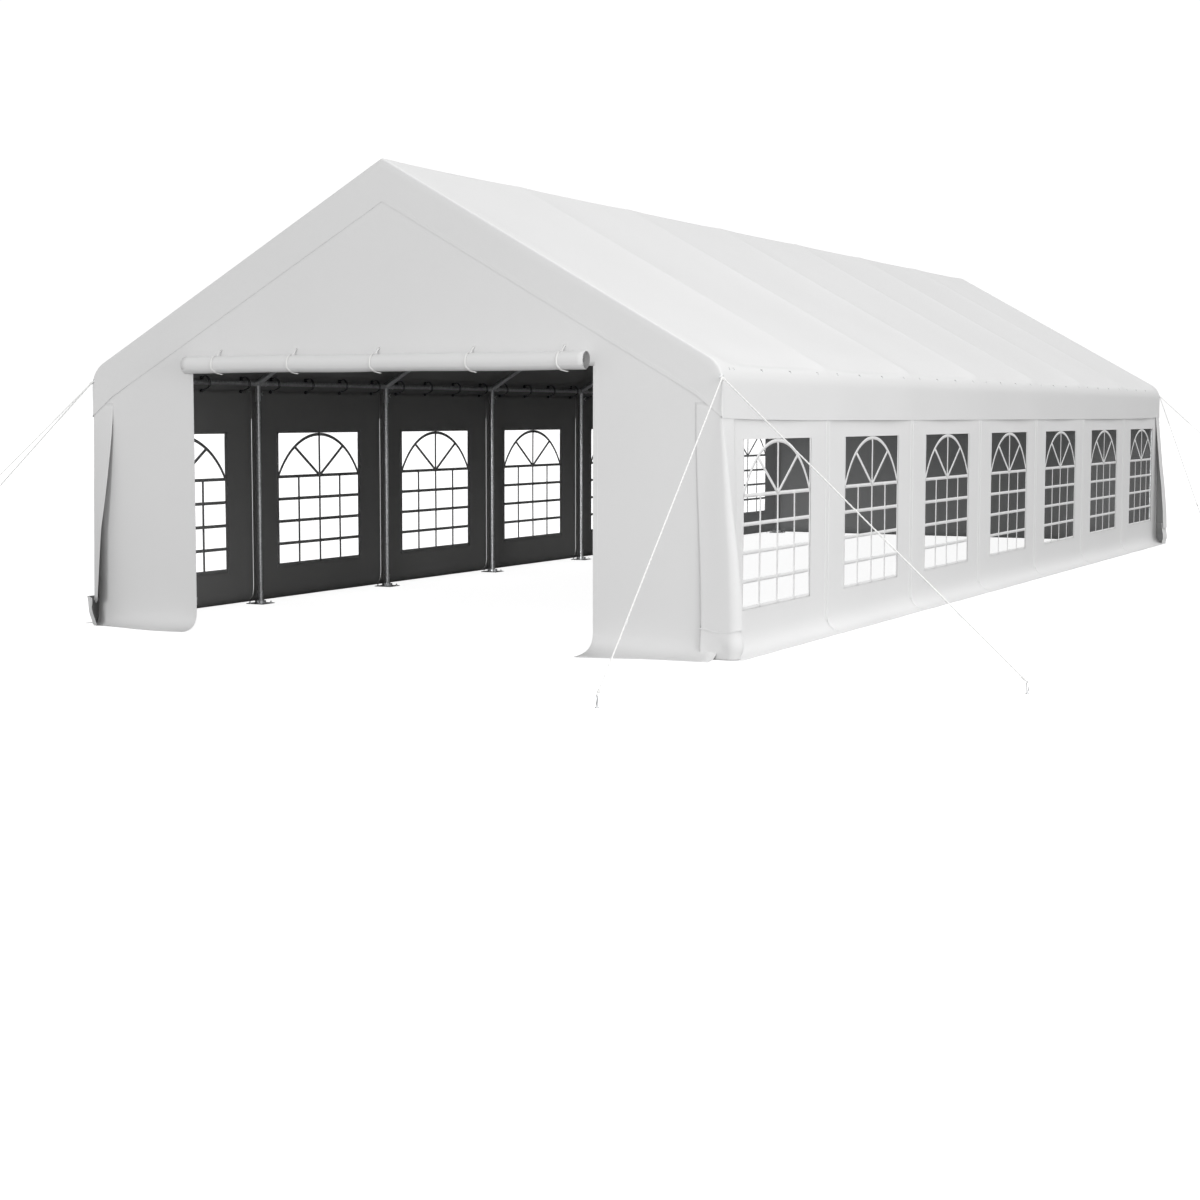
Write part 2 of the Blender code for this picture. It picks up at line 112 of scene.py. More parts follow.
# Guy rope pegs on plan: for each corner the peg of the end rope, then that of the side rope
PEGS = {
    "front_right": ((2.80, -9.34), (4.74, -7.73)),
    "front_left": ((-2.85, -9.30), (-4.20, -7.45)),
    "rear_right": ((2.80, 9.00), (4.20, 8.55)),
    "rear_left": ((-2.80, 9.34), (-4.74, 7.73)),
}


class MarqueeSizes(bpy.types.PropertyGroup):
    """Sizes of the cloth and fittings that the frame leaves open."""

    cloth_thickness: FloatProperty(
        name="Cloth thickness", description="Thickness of the coated cloth",
        default=0.0016, min=0.0005, max=0.004, unit="LENGTH")
    roof_sag: FloatProperty(
        name="Roof sag", description="How far the roof hangs between two frames",
        default=0.027, min=0.0, max=0.08, unit="LENGTH")
    eave_dip: FloatProperty(
        name="Eave dip", description="Depth of the hollow above the eave rail",
        default=0.030, min=0.0, max=0.06, unit="LENGTH")
    tape_width: FloatProperty(
        name="Tape width", description="Width of the welded tapes and hems",
        default=0.034, min=0.01, max=0.08, unit="LENGTH")
    tape_height: FloatProperty(
        name="Tape height", description="How far a welded tape stands out from the cloth",
        default=0.0012, min=0.0002, max=0.004, unit="LENGTH")
    bar_width: FloatProperty(
        name="Window bar width", description="Width of the bars that divide a window",
        default=0.026, min=0.01, max=0.05, unit="LENGTH")
    roll_turns: IntProperty(
        name="Roll turns", description="Turns of cloth in the rolled-up front door",
        default=8, min=3, max=14)
    eyelet_radius: FloatProperty(
        name="Eyelet radius", description="Outer radius of the small eyelets along the eaves",
        default=0.0065, min=0.004, max=0.02, unit="LENGTH")
    ball_radius: FloatProperty(
        name="Ball radius", description="Radius of the ball on each elastic loop",
        default=0.0145, min=0.005, max=0.03, unit="LENGTH")
    rope_radius: FloatProperty(
        name="Rope radius", description="Radius of the guy ropes",
        default=0.0052, min=0.002, max=0.01, unit="LENGTH")


class MarqueeColours(bpy.types.PropertyGroup):
    """Colours of the tent's materials."""

    roof: FloatVectorProperty(
        name="Roof", description="Outside of the roof cloth",
        default=(0.80, 0.80, 0.80), min=0, max=1, subtype="COLOR")
    wall: FloatVectorProperty(
        name="Wall", description="Outside of the wall cloth",
        default=(0.80, 0.80, 0.80), min=0, max=1, subtype="COLOR")
    # Grey of the cloth's inside is painted shade: the white cloth is given this grey inside to stand for the
    # shade within the tent
    inner: FloatVectorProperty(
        name="Inside", description="Inside of all the cloth",
        default=(0.30, 0.30, 0.30), min=0, max=1, subtype="COLOR")
    film: FloatVectorProperty(
        name="Window film", description="Clear window film",
        default=(0.86, 0.88, 0.90), min=0, max=1, subtype="COLOR")
    steel: FloatVectorProperty(
        name="Steel", description="Galvanised steel",
        default=(0.78, 0.79, 0.80), min=0, max=1, subtype="COLOR")
    rope: FloatVectorProperty(
        name="Rope", description="Guy ropes and ribbons",
        default=(0.93, 0.93, 0.92), min=0, max=1, subtype="COLOR")
    rubber: FloatVectorProperty(
        name="Elastic", description="Elastic loops and their balls",
        default=(0.045, 0.045, 0.048), min=0, max=1, subtype="COLOR")


class MarqueeStage(bpy.types.PropertyGroup):
    """Light and floor of the picture."""

    sky: FloatProperty(
        name="Sky", description="Strength of the light from all round",
        default=0.60, min=0.0, max=5.0)
    high_sun: FloatProperty(
        name="High light", description="Strength of the soft light from above",
        default=1.0, min=0.0, max=10.0)
    front_sun: FloatProperty(
        name="Front light", description="Strength of the light on the front gable",
        default=0.80, min=0.0, max=10.0)
    side_panel: FloatProperty(
        name="Side light", description="Power of the large lamp at the near right",
        default=600.0, min=0.0, max=5000.0, unit="POWER")


def stations(stops, counts):
    """Places along a line, with counts[i] equal steps from stops[i] to stops[i + 1]."""
    places = [stops[0]]
    for start, end, count in zip(stops, stops[1:], counts):
        places += [start + (end - start) * step / count for step in range(1, count + 1)]
    return places


def ease(value, low, high):
    """0 below low, 1 above high and a smooth rise between them."""
    share = max(0.0, min(1.0, (value - low) / (high - low)))
    return share * share * (3 - 2 * share)


def wrinkle(x, y, z, seed=0.0):
    """Smooth noise from -1 to 1 at a place."""
    return noise.noise(Vector((x + 17.3 * seed, y - 9.1 * seed, z + 4.7 * seed)))


def add_node(tree, kind, inputs=None, **settings):
    """Add a shader node, apply its settings, then set or link its inputs by name."""
    node = tree.nodes.new("ShaderNode" + kind)
    for name, value in settings.items():
        setattr(node, name, value)
    for name, value in (inputs or {}).items():
        if isinstance(value, bpy.types.NodeSocket):
            tree.links.new(value, node.inputs[name])
        else:
            node.inputs[name].default_value = value
    return node


def blank_finish(name, colour, roughness, metallic=0.0):
    """A Principled material with constant values on its own sockets."""
    finish = bpy.data.materials.new(name)
    finish.use_nodes = True
    shader = finish.node_tree.nodes["Principled BSDF"]
    shader.inputs["Base Color"].default_value = (*colour, 1)
    shader.inputs["Roughness"].default_value = roughness
    shader.inputs["Metallic"].default_value = metallic
    finish.diffuse_color = (*colour, 1)
    return finish, finish.node_tree, shader


def tint(tree, shader, pattern, colour, change):
    """Drive the base colour between two tones of one colour."""
    ramp = add_node(tree, "ValToRGB", {"Fac": pattern})
    ramp.color_ramp.elements[0].position = 0.3
    ramp.color_ramp.elements[0].color = (*[c * (1 - change) for c in colour], 1)
    ramp.color_ramp.elements[1].position = 0.7
    ramp.color_ramp.elements[1].color = (*[min(1, c * (1 + change)) for c in colour], 1)
    tree.links.new(ramp.outputs["Color"], shader.inputs["Base Color"])


def vary_roughness(tree, shader, pattern, low, high):
    """Drive the roughness between two values."""
    spread = add_node(tree, "MapRange", {"Value": pattern, "To Min": low, "To Max": high})
    tree.links.new(spread.outputs["Result"], shader.inputs["Roughness"])


def add_bump(tree, height, strength, distance, below=None):
    """A bump, on top of another one if it is given."""
    inputs = {"Height": height, "Strength": strength, "Distance": distance}
    if below:
        inputs["Normal"] = below.outputs["Normal"]
    return add_node(tree, "Bump", inputs)


def cloth_finish(name, colour, roughness=0.5, threads=400.0):
    """Coated woven sheet: fine crossed threads on the cut's own map, soft creases, satin gloss."""
    finish, tree, shader = blank_finish(name, colour, roughness)
    shader.inputs["Sheen Weight"].default_value = 0.06
    shader.inputs["Specular IOR Level"].default_value = 0.30
    place = add_node(tree, "TexCoord")
    patches = add_node(
        tree, "TexNoise", {"Vector": place.outputs["Object"], "Scale": 0.8, "Detail": 5.0})
    tint(tree, shader, patches.outputs["Fac"], colour, 0.010)
    vary_roughness(tree, shader, patches.outputs["Fac"], roughness - 0.06, roughness + 0.06)
    creases = add_node(
        tree, "TexNoise",
        {"Vector": place.outputs["Object"], "Scale": 2.6, "Detail": 4.0, "Roughness": 0.55})
    soft = add_bump(tree, creases.outputs["Fac"], 0.20, 0.006)
    waves = [
        add_node(tree, "TexWave", {"Vector": place.outputs["UV"], "Scale": threads * 2 * pi / 20},
                 bands_direction=way)
        for way in ("X", "Y")
    ]
    weave = add_node(tree, "Math", operation="MAXIMUM")
    for index, wave in enumerate(waves):
        tree.links.new(wave.outputs["Fac"], weave.inputs[index])
    fine = add_bump(tree, weave.outputs["Value"], 0.10, 0.0004, soft)
    tree.links.new(fine.outputs["Normal"], shader.inputs["Normal"])
    return finish


def steel_finish(name, colour):
    """Galvanised steel with its zinc flowers."""
    finish, tree, shader = blank_finish(name, colour, 0.36, 1.0)
    place = add_node(tree, "TexCoord")
    flowers = add_node(tree, "TexVoronoi", {"Vector": place.outputs["Object"], "Scale": 70.0})
    tint(tree, shader, flowers.outputs["Color"], colour, 0.08)
    streaks = add_node(
        tree, "TexNoise", {"Vector": place.outputs["Object"], "Scale": 30.0, "Detail": 3.0})
    vary_roughness(tree, shader, streaks.outputs["Fac"], 0.28, 0.44)
    dents = add_bump(tree, streaks.outputs["Fac"], 0.2, 0.0006)
    tree.links.new(dents.outputs["Normal"], shader.inputs["Normal"])
    return finish


def film_finish(name, colour):
    """Clear flexible film that ripples a little."""
    finish, tree, shader = blank_finish(name, colour, 0.06)
    shader.inputs["Alpha"].default_value = 0.035
    shader.inputs["IOR"].default_value = 1.45
    place = add_node(tree, "TexCoord")
    ripples = add_node(
        tree, "TexNoise", {"Vector": place.outputs["Object"], "Scale": 3.5, "Detail": 2.0})
    vary_roughness(tree, shader, ripples.outputs["Fac"], 0.03, 0.12)
    bump = add_bump(tree, ripples.outputs["Fac"], 0.3, 0.008)
    tree.links.new(bump.outputs["Normal"], shader.inputs["Normal"])
    return finish


def cord_finish(name, colour, scale):
    """Braided or twisted fibre."""
    finish, tree, shader = blank_finish(name, colour, 0.75)
    shader.inputs["Sheen Weight"].default_value = 0.2
    place = add_node(tree, "TexCoord")
    fibres = add_node(
        tree, "TexNoise", {"Vector": place.outputs["Object"], "Scale": scale, "Detail": 2.0})
    tint(tree, shader, fibres.outputs["Fac"], colour, 0.05)
    bump = add_bump(tree, fibres.outputs["Fac"], 0.4, 0.0006)
    tree.links.new(bump.outputs["Normal"], shader.inputs["Normal"])
    return finish


def moulded_finish(name, colour, roughness=0.35):
    """Moulded plastic with a fine grain."""
    finish, tree, shader = blank_finish(name, colour, roughness)
    place = add_node(tree, "TexCoord")
    grain = add_node(
        tree, "TexNoise", {"Vector": place.outputs["Object"], "Scale": 500.0, "Detail": 2.0})
    vary_roughness(tree, shader, grain.outputs["Fac"], roughness - 0.07, roughness + 0.07)
    bump = add_bump(tree, grain.outputs["Fac"], 0.2, 0.0002)
    tree.links.new(bump.outputs["Normal"], shader.inputs["Normal"])
    return finish


def finish_of(name):
    """One of the tent's materials, made the first time that it is asked for."""
    colours = bpy.context.scene.marquee_colours
    made = bpy.data.materials.get(name)
    if made:
        return made
    makers = {
        "roof_cloth_outside": lambda: cloth_finish(name, colours.roof, 0.46),
        "wall_cloth_outside": lambda: cloth_finish(name, colours.wall, 0.52),
        # Inside of the cloth: grey painted shade standing for the dimness within the tent
        "cloth_inside_painted_shade": lambda: cloth_finish(name, colours.inner, 0.60),
        "window_film": lambda: film_finish(name, colours.film),
        "galvanised_tube": lambda: steel_finish(name, colours.steel),
        "white_rope": lambda: cord_finish(name, colours.rope, 900.0),
        "white_ribbon": lambda: cloth_finish(name, colours.rope, 0.62, 900.0),
        # Black elastic cord; the same finish also fills the corner eyelets' holes as painted shade
        "black_elastic_and_painted_hole_shade": lambda: cord_finish(name, colours.rubber, 700.0),
        "black_ball": lambda: moulded_finish(name, colours.rubber, 0.22),
        "white_zip": lambda: moulded_finish(name, colours.wall),
    }
    return makers[name]()


def cloth_grid(columns, rows):
    """A flat cloth on X and Y, divided at the given columns and rows."""
    shape = bmesh.new()
    bmesh.ops.create_grid(shape, x_segments=len(columns) - 1, y_segments=len(rows) - 1, size=1)
    for vert in shape.verts:
        column = round((vert.co.x + 1) / 2 * (len(columns) - 1))
        row = round((vert.co.y + 1) / 2 * (len(rows) - 1))
        vert.co = (columns[column], rows[row], 0)
    return shape


def faces_between(shape, left, right, low, high):
    """Faces of a flat cloth whose middle lies in a rectangle."""
    found = []
    for face in shape.faces:
        middle = face.calc_center_median()
        if left < middle.x < right and low < middle.y < high:
            found.append(face)
    return found


def raise_tape(shape, faces, height):
    """Raise some faces of a flat cloth as a welded tape, or sink them as a groove."""
    edges = {edge for face in faces for edge in face.edges}
    made = bmesh.ops.extrude_face_region(shape, geom=[*faces, *edges])["geom"]
    raised = [item for item in made if isinstance(item, bmesh.types.BMVert)]
    bmesh.ops.translate(shape, verts=raised, vec=(0, 0, height))


def bend_cloth(shape, place):
    """Keep the flat cut as a UV map in metres, then move each point to its place."""
    uv = shape.loops.layers.uv.new("cut")
    for face in shape.faces:
        for loop in face.loops:
            loop[uv].uv = loop.vert.co.xy
    for vert in shape.verts:
        vert.co = place(*vert.co)


def turn_outwards(shape, middle):
    """Turn all the faces of a cloth so that most of them look away from a point."""
    facing = 0.0
    for face in shape.faces:
        facing += face.normal.dot(face.calc_center_median() - middle) * face.calc_area()
    if facing < 0:
        bmesh.ops.reverse_faces(shape, faces=shape.faces)


def new_piece(name, shape, finishes, stands_for=(), sharp=35.0):
    """Make a bmesh into a piece that rides on the tent."""
    mesh = bpy.data.meshes.new(name)
    shape.to_mesh(mesh)
    shape.free()
    for finish in finishes:
        mesh.materials.append(finish_of(finish))
    mesh.shade_smooth()
    mesh.set_sharp_from_angle(angle=radians(sharp))
    piece = bpy.data.objects.new(name, mesh)
    bpy.context.scene.collection.objects.link(piece)
    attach(piece, "root")
    if stands_for:
        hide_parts(*stands_for)
    return piece


def thicken(piece, thickness, offset=-1.0, rim=0):
    """Give an open sheet its thickness, with its inside and its rim in their own finishes."""
    skin = piece.modifiers.new("thickness", "SOLIDIFY")
    skin.thickness = thickness
    skin.offset = offset
    skin.material_offset = 1 if len(piece.data.materials) > 1 else 0
    skin.material_offset_rim = rim


def new_cloth(name, shape, outside, stands_for, middle=(0, 0, 0.9), rim=0):
    """Make a shaped sheet into cloth with an outside, an inside in a grey that paints the tent's inner shade, and
    its real thickness.
    """
    shape.normal_update()
    turn_outwards(shape, Vector(middle))
    area = sum(face.calc_area() for face in shape.faces)
    piece = new_piece(name, shape, (outside, "cloth_inside_painted_shade"), stands_for)
    thicken(piece, bpy.context.scene.marquee_sizes.cloth_thickness, rim=rim)
    return piece


def add_shape(shape, part, index=0, place=Matrix.Identity(4)):
    """Add a finished bmesh to another, in one finish and at a place."""
    for face in part.faces:
        face.material_index = index
    bmesh.ops.transform(part, matrix=place, verts=part.verts)
    mesh = bpy.data.meshes.new("part")
    part.to_mesh(mesh)
    part.free()
    shape.from_mesh(mesh)
    bpy.data.meshes.remove(mesh)


def add_box(shape, low, high, index=0, round_edges=0.0):
    """Add a box between two corners."""
    low = Vector(low)
    high = Vector(high)
    part = bmesh.new()
    place = Matrix.Translation((low + high) / 2) @ Matrix.Diagonal((*(high - low), 1))
    bmesh.ops.create_cube(part, size=1, matrix=place)
    if round_edges:
        bmesh.ops.bevel(
            part, geom=part.edges[:], offset=round_edges, affect="EDGES", segments=2, profile=0.5,
            material=-1)
    add_shape(shape, part, index)


def add_tube(shape, start, end, radius, sides=20, index=0):
    """Add a round bar between two points."""
    start = Vector(start)
    end = Vector(end)
    part = bmesh.new()
    bmesh.ops.create_cone(
        part, cap_ends=True, segments=sides, radius1=radius, radius2=radius,
        depth=(end - start).length)
    turn = (end - start).to_track_quat("Z", "Y").to_matrix().to_4x4()
    add_shape(shape, part, index, Matrix.Translation((start + end) / 2) @ turn)


def add_ring(shape, place, radius, wire, steps=24, sides=8, index=0):
    """Add a ring round the Z axis of the matrix place."""
    part = bmesh.new()
    stand = Matrix.Translation((radius, 0, 0)) @ Matrix.Rotation(pi / 2, 4, "X")
    bmesh.ops.create_circle(part, segments=sides, radius=wire, matrix=stand)
    bmesh.ops.spin(
        part, geom=[*part.verts, *part.edges], cent=(0, 0, 0), axis=(0, 0, 1), angle=2 * pi,
        steps=steps, use_merge=True, use_duplicate=False)
    bmesh.ops.recalc_face_normals(part, faces=part.faces)
    add_shape(shape, part, index, place)


def smooth_line(points, steps):
    """Points of a smooth curve through a few places."""
    ends = [2 * points[0] - points[1], *points, 2 * points[-1] - points[-2]]
    line = [points[0]]
    for before, start, end, after in zip(ends, ends[1:], ends[2:], ends[3:]):
        ahead = start + (end - before) / 6
        behind = end - (after - start) / 6
        line += interpolate_bezier(start, ahead, behind, end, steps + 1)[1:]
    return line


TWIST_PITCH = 0.040
TWIST_SWELL = 0.16


def add_cord(shape, line, radius, sides=8, index=0, twisted=False):
    """Add a round cord along a line of points, as three twisted strands if asked."""
    part = bmesh.new()
    last = len(line) - 1
    bmesh.ops.create_grid(part, x_segments=sides, y_segments=last, size=1)
    ways = [(line[min(at + 1, last)] - line[max(at - 1, 0)]).normalized() for at in range(last + 1)]
    turns = [ways[0].to_track_quat("Z", "Y")]
    for before, way in zip(ways, ways[1:]):
        turns.append(before.rotation_difference(way) @ turns[-1])
    for vert in part.verts:
        at = round((vert.co.y + 1) / 2 * last)
        angle = pi * (vert.co.x + 1)
        thick = radius
        if twisted:
            along = (line[at] - line[0]).length
            thick *= 0.88 * (1 + TWIST_SWELL * cos(3 * angle - 2 * pi * along / TWIST_PITCH))
        vert.co = line[at] + turns[at] @ Vector((thick * cos(angle), thick * sin(angle), 0))
    bmesh.ops.remove_doubles(part, verts=part.verts, dist=radius * 0.01)
    bmesh.ops.edgeloop_fill(part, edges=[edge for edge in part.edges if edge.is_boundary])
    bmesh.ops.recalc_face_normals(part, faces=part.faces)
    add_shape(shape, part, index)


def roof_section(run):
    """Point and outward direction of the taut roof, at a run down from the ridge."""
    side = 1 if run >= 0 else -1
    run = abs(run)
    if run <= SLOPE_RUN:
        out = (sin(SLOPE), cos(SLOPE))
        x = run * cos(SLOPE)
        z = RIDGE_Z - tan(SLOPE) * hypot(x, RIDGE_ROUND)
    elif run <= SLOPE_RUN + EAVE_RUN:
        angle = EAVE_TURN * (1 - (run - SLOPE_RUN) / EAVE_RUN)
        out = (cos(angle), sin(angle))
        x = ROOF_X - EAVE_RADIUS + EAVE_RADIUS * out[0]
        z = EAVE_Z + EAVE_RADIUS * out[1]
    else:
        out = (1, 0)
        x = ROOF_X
        z = EAVE_Z - (run - SLOPE_RUN - EAVE_RUN)
    return Vector((side * x, 0, z)), Vector((side * out[0], 0, out[1]))


SAG_FADE = 0.24
DIP_RUN = SLOPE_RUN + 0.03
DIP_ABOVE = 0.16
DIP_BELOW = 0.045


def roof_slack(run, y):
    """How far the cloth hangs in from its taut line between the frames."""
    sizes = bpy.context.scene.marquee_sizes
    away = min(abs(y - line) for line in [*FRAME_LINES, -ROOF_Y, ROOF_Y])
    free = 1 - exp(-(hypot(away, 0.03) - 0.03) / SAG_FADE)
    run = abs(run)
    if run < SLOPE_RUN:
        sag = sizes.roof_sag * (0.3 + 0.7 * sin(pi * (run / SLOPE_RUN) ** 0.9))
    else:
        sag = sizes.roof_sag * 0.3 * (1 - 0.6 * ease(run, SLOPE_RUN, HALF_SECTION))
    width = DIP_ABOVE if run < DIP_RUN else DIP_BELOW
    return free * (sag + sizes.eave_dip * exp(-((run - DIP_RUN) / width) ** 2))


def roof_point(run, y, height=0.0):
    """Place of the roof's outside at a run down from the ridge."""
    point, out = roof_section(run)
    point.y = y
    low = ease(abs(run), SLOPE_RUN + EAVE_RUN * 0.7, HALF_SECTION)
    side = 1 if run > 0 else -1
    billow = 0.010 * wrinkle(0, y * 1.15, 0, side) + 0.004 * wrinkle(0, y * 3.3, 0, 3 + side)
    rise = 0.018 * exp(-(ROOF_Y - abs(y)) / 0.8)
    shift = low * billow - roof_slack(run, y) + 0.002 * wrinkle(point.x * 1.5, y * 1.3, point.z)
    calm = ease(ROOF_Y - abs(y), 0.0, 0.25)
    point += out * (shift * calm + height)
    point.z += low * rise
    return point


def border_foot(run):
    """Lower edge of the gable border, at a run down from the ridge."""
    side = 1 if run >= 0 else -1
    point, out = roof_section(run)
    x = abs(point.x)
    start = RAKE_CORNER_X / cos(SLOPE)
    foot_z = RIDGE_Z - RAKE_DROP - min(x, RAKE_CORNER_X) * tan(SLOPE)
    if abs(run) <= start:
        return Vector((side * x, 0, foot_z))
    share = (abs(run) - start) / (HALF_SECTION - start)
    return Vector((
        side * (RAKE_CORNER_X + share * (WALL_X - 0.001 - RAKE_CORNER_X)), 0,
        foot_z + share * (BORDER_CORNER_Z - foot_z)))


def border_foot_z(x):
    """Height of the gable border's lower edge at a place across the gable."""
    x = abs(x)
    foot_z = RIDGE_Z - RAKE_DROP - min(x, RAKE_CORNER_X) * tan(SLOPE)
    share = max(0.0, min(1.0, (x - RAKE_CORNER_X) / (WALL_X - RAKE_CORNER_X)))
    return foot_z + share * (BORDER_CORNER_Z - foot_z)


def roof_cloth_place(across, run, height):
    """Place of a point of the roof's cut: past the gable's line it turns down as the border."""
    side = 1 if across >= 0 else -1
    past = abs(across) - (ROOF_Y - BORDER_FOLD)
    if past <= 0:
        return roof_point(run, across, height)
    top = roof_point(run, side * ROOF_Y)
    foot = border_foot(run)
    foot.y = top.y
    drop = (foot - top).length
    fold = min(BORDER_FOLD, drop / 2)
    angle = min(past / BORDER_FOLD, pi / 2)
    down = fold * (1 - cos(angle))
    out = fold * (sin(angle) - 1)
    share = max(0.0, past - BORDER_FOLD * pi / 2) / (RAKE_DROP - BORDER_FOLD)
    down += share * (drop - fold)
    tuck = 0.0019 * share * share * (1 - ease(abs(top.x), 2.15, 2.35))
    ripple = 0.0010 * wrinkle(top.x * 2, top.z * 2, share, side) * (1 - share)
    place = top + (foot - top).normalized() * down
    place.y += side * (out - tuck + ripple + height)
    return place


class MARQUEE_OT_roof(bpy.types.Operator):
    """Model the roof cloth with its eaves, valances and gable borders"""

    bl_idname = "marquee.roof"
    bl_label = "Roof"

    def execute(self, context):
        sizes = context.scene.marquee_sizes
        hem = 0.028
        fold_end = ROOF_Y - BORDER_FOLD + BORDER_FOLD * pi / 2
        border_end = fold_end + RAKE_DROP - BORDER_FOLD
        columns = stations(
            [-border_end, hem - border_end, -fold_end, BORDER_FOLD - ROOF_Y, FRAME_LINES[0]],
            [1, 5, 4, 3])
        for start, end in zip(FRAME_LINES, FRAME_LINES[1:]):
            columns += [start + (end - start) * (0.5 - 0.5 * cos(pi * step / 20)) for step in range(1, 21)]
        columns += [-place for place in reversed(columns[:13])]
        half = stations(
            [0, 0.03, SLOPE_RUN - 0.4, SLOPE_RUN, SLOPE_RUN + EAVE_RUN, HALF_SECTION - hem,
             HALF_SECTION],
            [3, 16, 10, 12, 5, 1])
        rows = [-run for run in reversed(half[1:])] + half
        shape = cloth_grid(columns, rows)
        for side in (-1, 1):
            border = faces_between(
                shape, *sorted((side * (border_end - hem), side * border_end)), -9, 9)
            raise_tape(shape, border, sizes.tape_height / 2)
            edge = faces_between(
                shape, -ROOF_Y, ROOF_Y, *sorted((side * (HALF_SECTION - hem), side * HALF_SECTION)))
            raise_tape(shape, edge, sizes.tape_height / 2)
        bend_cloth(shape, roof_cloth_place)
        new_cloth(
            "roof_sheet", shape, "roof_cloth_outside", ["roof_cover"])
        return {"FINISHED"}


def foot_curve(share, reach):
    """Reach and height of a wall's foot: share 0 is on the wall, 1 the edge on the ground."""
    knots = (
        Vector((0, FOOT_TOP)), Vector((0.02 * reach, 0.32 * FOOT_TOP)),
        Vector((0.22 * reach, 0.0035)), Vector((reach, 0.0026)),
    )
    back = 1 - share
    weights = (back ** 3, 3 * back * back * share, 3 * back * share * share, share ** 3)
    return sum((knot * weight for knot, weight in zip(knots, weights)), Vector((0, 0)))


def wall_section(up, reach):
    """Outward reach and height of a wall at a place on its cut, where FOOT_TOP is the bend."""
    if up >= FOOT_TOP:
        return 0.0, up
    return foot_curve((FOOT_TOP - up) / FOOT_RUN, reach)


def wall_rows(stops, counts):
    """Rows of a wall's cut from the edge on the ground upwards."""
    return stations([FOOT_TOP - FOOT_RUN, FOOT_TOP, *stops], [10, *counts])


def side_bulge(sign, y, height):
    """How far a side wall stands out at a place: it leans in under the valance and creases."""
    middle = BAY * round(y / BAY)
    share = 2 * abs(y - middle) / BAY
    inner = max(0.0, 1 - share * share)
    lean = 0.022 * ease(height, 1.38, 1.62) * inner
    loose = inner * ease(height, 0.02, 0.25) * (1 - 0.5 * ease(height, 1.2, 1.5))
    return 0.004 * loose * wrinkle(0, y * 2.1, height * 1.3, sign + 2) - lean - 0.0005


def side_wall_place(sign, y, up, height):
    """Place of a point of a side wall's cut."""
    out, z = wall_section(up, SIDE_REACH)
    ripple = 0.06 * (1 - ease(z, 0.02, 0.16)) * wrinkle(0, y * 3.2, 0, sign + 5)
    drop = -0.012 * ease(z, 1.70, 1.79) * (0.5 + 0.5 * cos(2 * pi * y / 0.5))
    return Vector((sign * (WALL_X + out * (1 + ripple) + side_bulge(sign, y, z) + height), y, z + drop))


STRAP_WIDTH = 0.045
STRAP_FOOT = 0.10


class MARQUEE_OT_side_walls(bpy.types.Operator):
    """Model the fourteen window panels of the side walls with their tapes and ground flaps"""

    bl_idname = "marquee.side_walls"
    bl_label = "Side walls"

    def execute(self, context):
        sizes = context.scene.marquee_sizes
        tape = sizes.tape_width
        half = WINDOW_WIDTH / 2
        for side, sign in SIDES:
            for bay in range(BAYS):
                middle = (bay + 0.5 - BAYS / 2) * BAY
                low = max(middle - BAY / 2 + 0.0015, 0.0195 - END_Y)
                high = min(middle + BAY / 2 - 0.0015, END_Y - 0.0195)
                columns = stations(
                    [low, middle - half - tape, middle - half, middle + half,
                     middle + half + tape, high - STRAP_WIDTH, high],
                    [8, 1, 22, 1, 7, 2])
                rows = wall_rows(
                    [WINDOW_SILL - tape, WINDOW_SILL, WINDOW_HEAD, WINDOW_HEAD + tape,
                     WALL_TOP - 0.04, WALL_TOP],
                    [3, 1, 18, 1, 7, 1])
                shape = cloth_grid(columns, rows)
                hole = faces_between(
                    shape, middle - half, middle + half, WINDOW_SILL, WINDOW_HEAD)
                bmesh.ops.delete(shape, geom=hole, context="FACES")
                window = faces_between(
                    shape, middle - half - tape, middle + half + tape, WINDOW_SILL - tape,
                    WINDOW_HEAD + tape)
                raise_tape(shape, window, sizes.tape_height * 0.4)
                strap = faces_between(shape, high - STRAP_WIDTH, high, STRAP_FOOT, WALL_TOP)
                raise_tape(shape, strap, sizes.tape_height * 1.6)
                bend_cloth(shape, lambda y, up, height: side_wall_place(sign, y, up, height))
                new_cloth(
                    f"{side}_wall_cloth_{bay + 1}", shape, "wall_cloth_outside",
                    [f"{side}_wall_panel_{bay + 1}"])
        return {"FINISHED"}


TRANSOM_SHARE = 0.328
BAR_DEPTH = 0.0014
EDGE_BAR = 0.024
BAR_LAP = 0.010
FAN_ANGLE = radians(34)
WINDOW_ROWS = 4


def add_ribbon(shape, start, end, width, steps, depth):
    """Add a flat straight ribbon between two points of a flat window."""
    start = Vector(start)
    end = Vector(end)
    way = end - start
    middle = (start + end) / 2
    place = Matrix.Translation((middle.x, middle.y, depth))
    place @= Matrix.Rotation(atan2(way.y, way.x), 4, "Z")
    place @= Matrix.Diagonal((way.length, width, 1, 1))
    part = bmesh.new()
    bmesh.ops.create_grid(part, x_segments=steps, y_segments=1, size=0.5)
    add_shape(shape, part, 0, place)


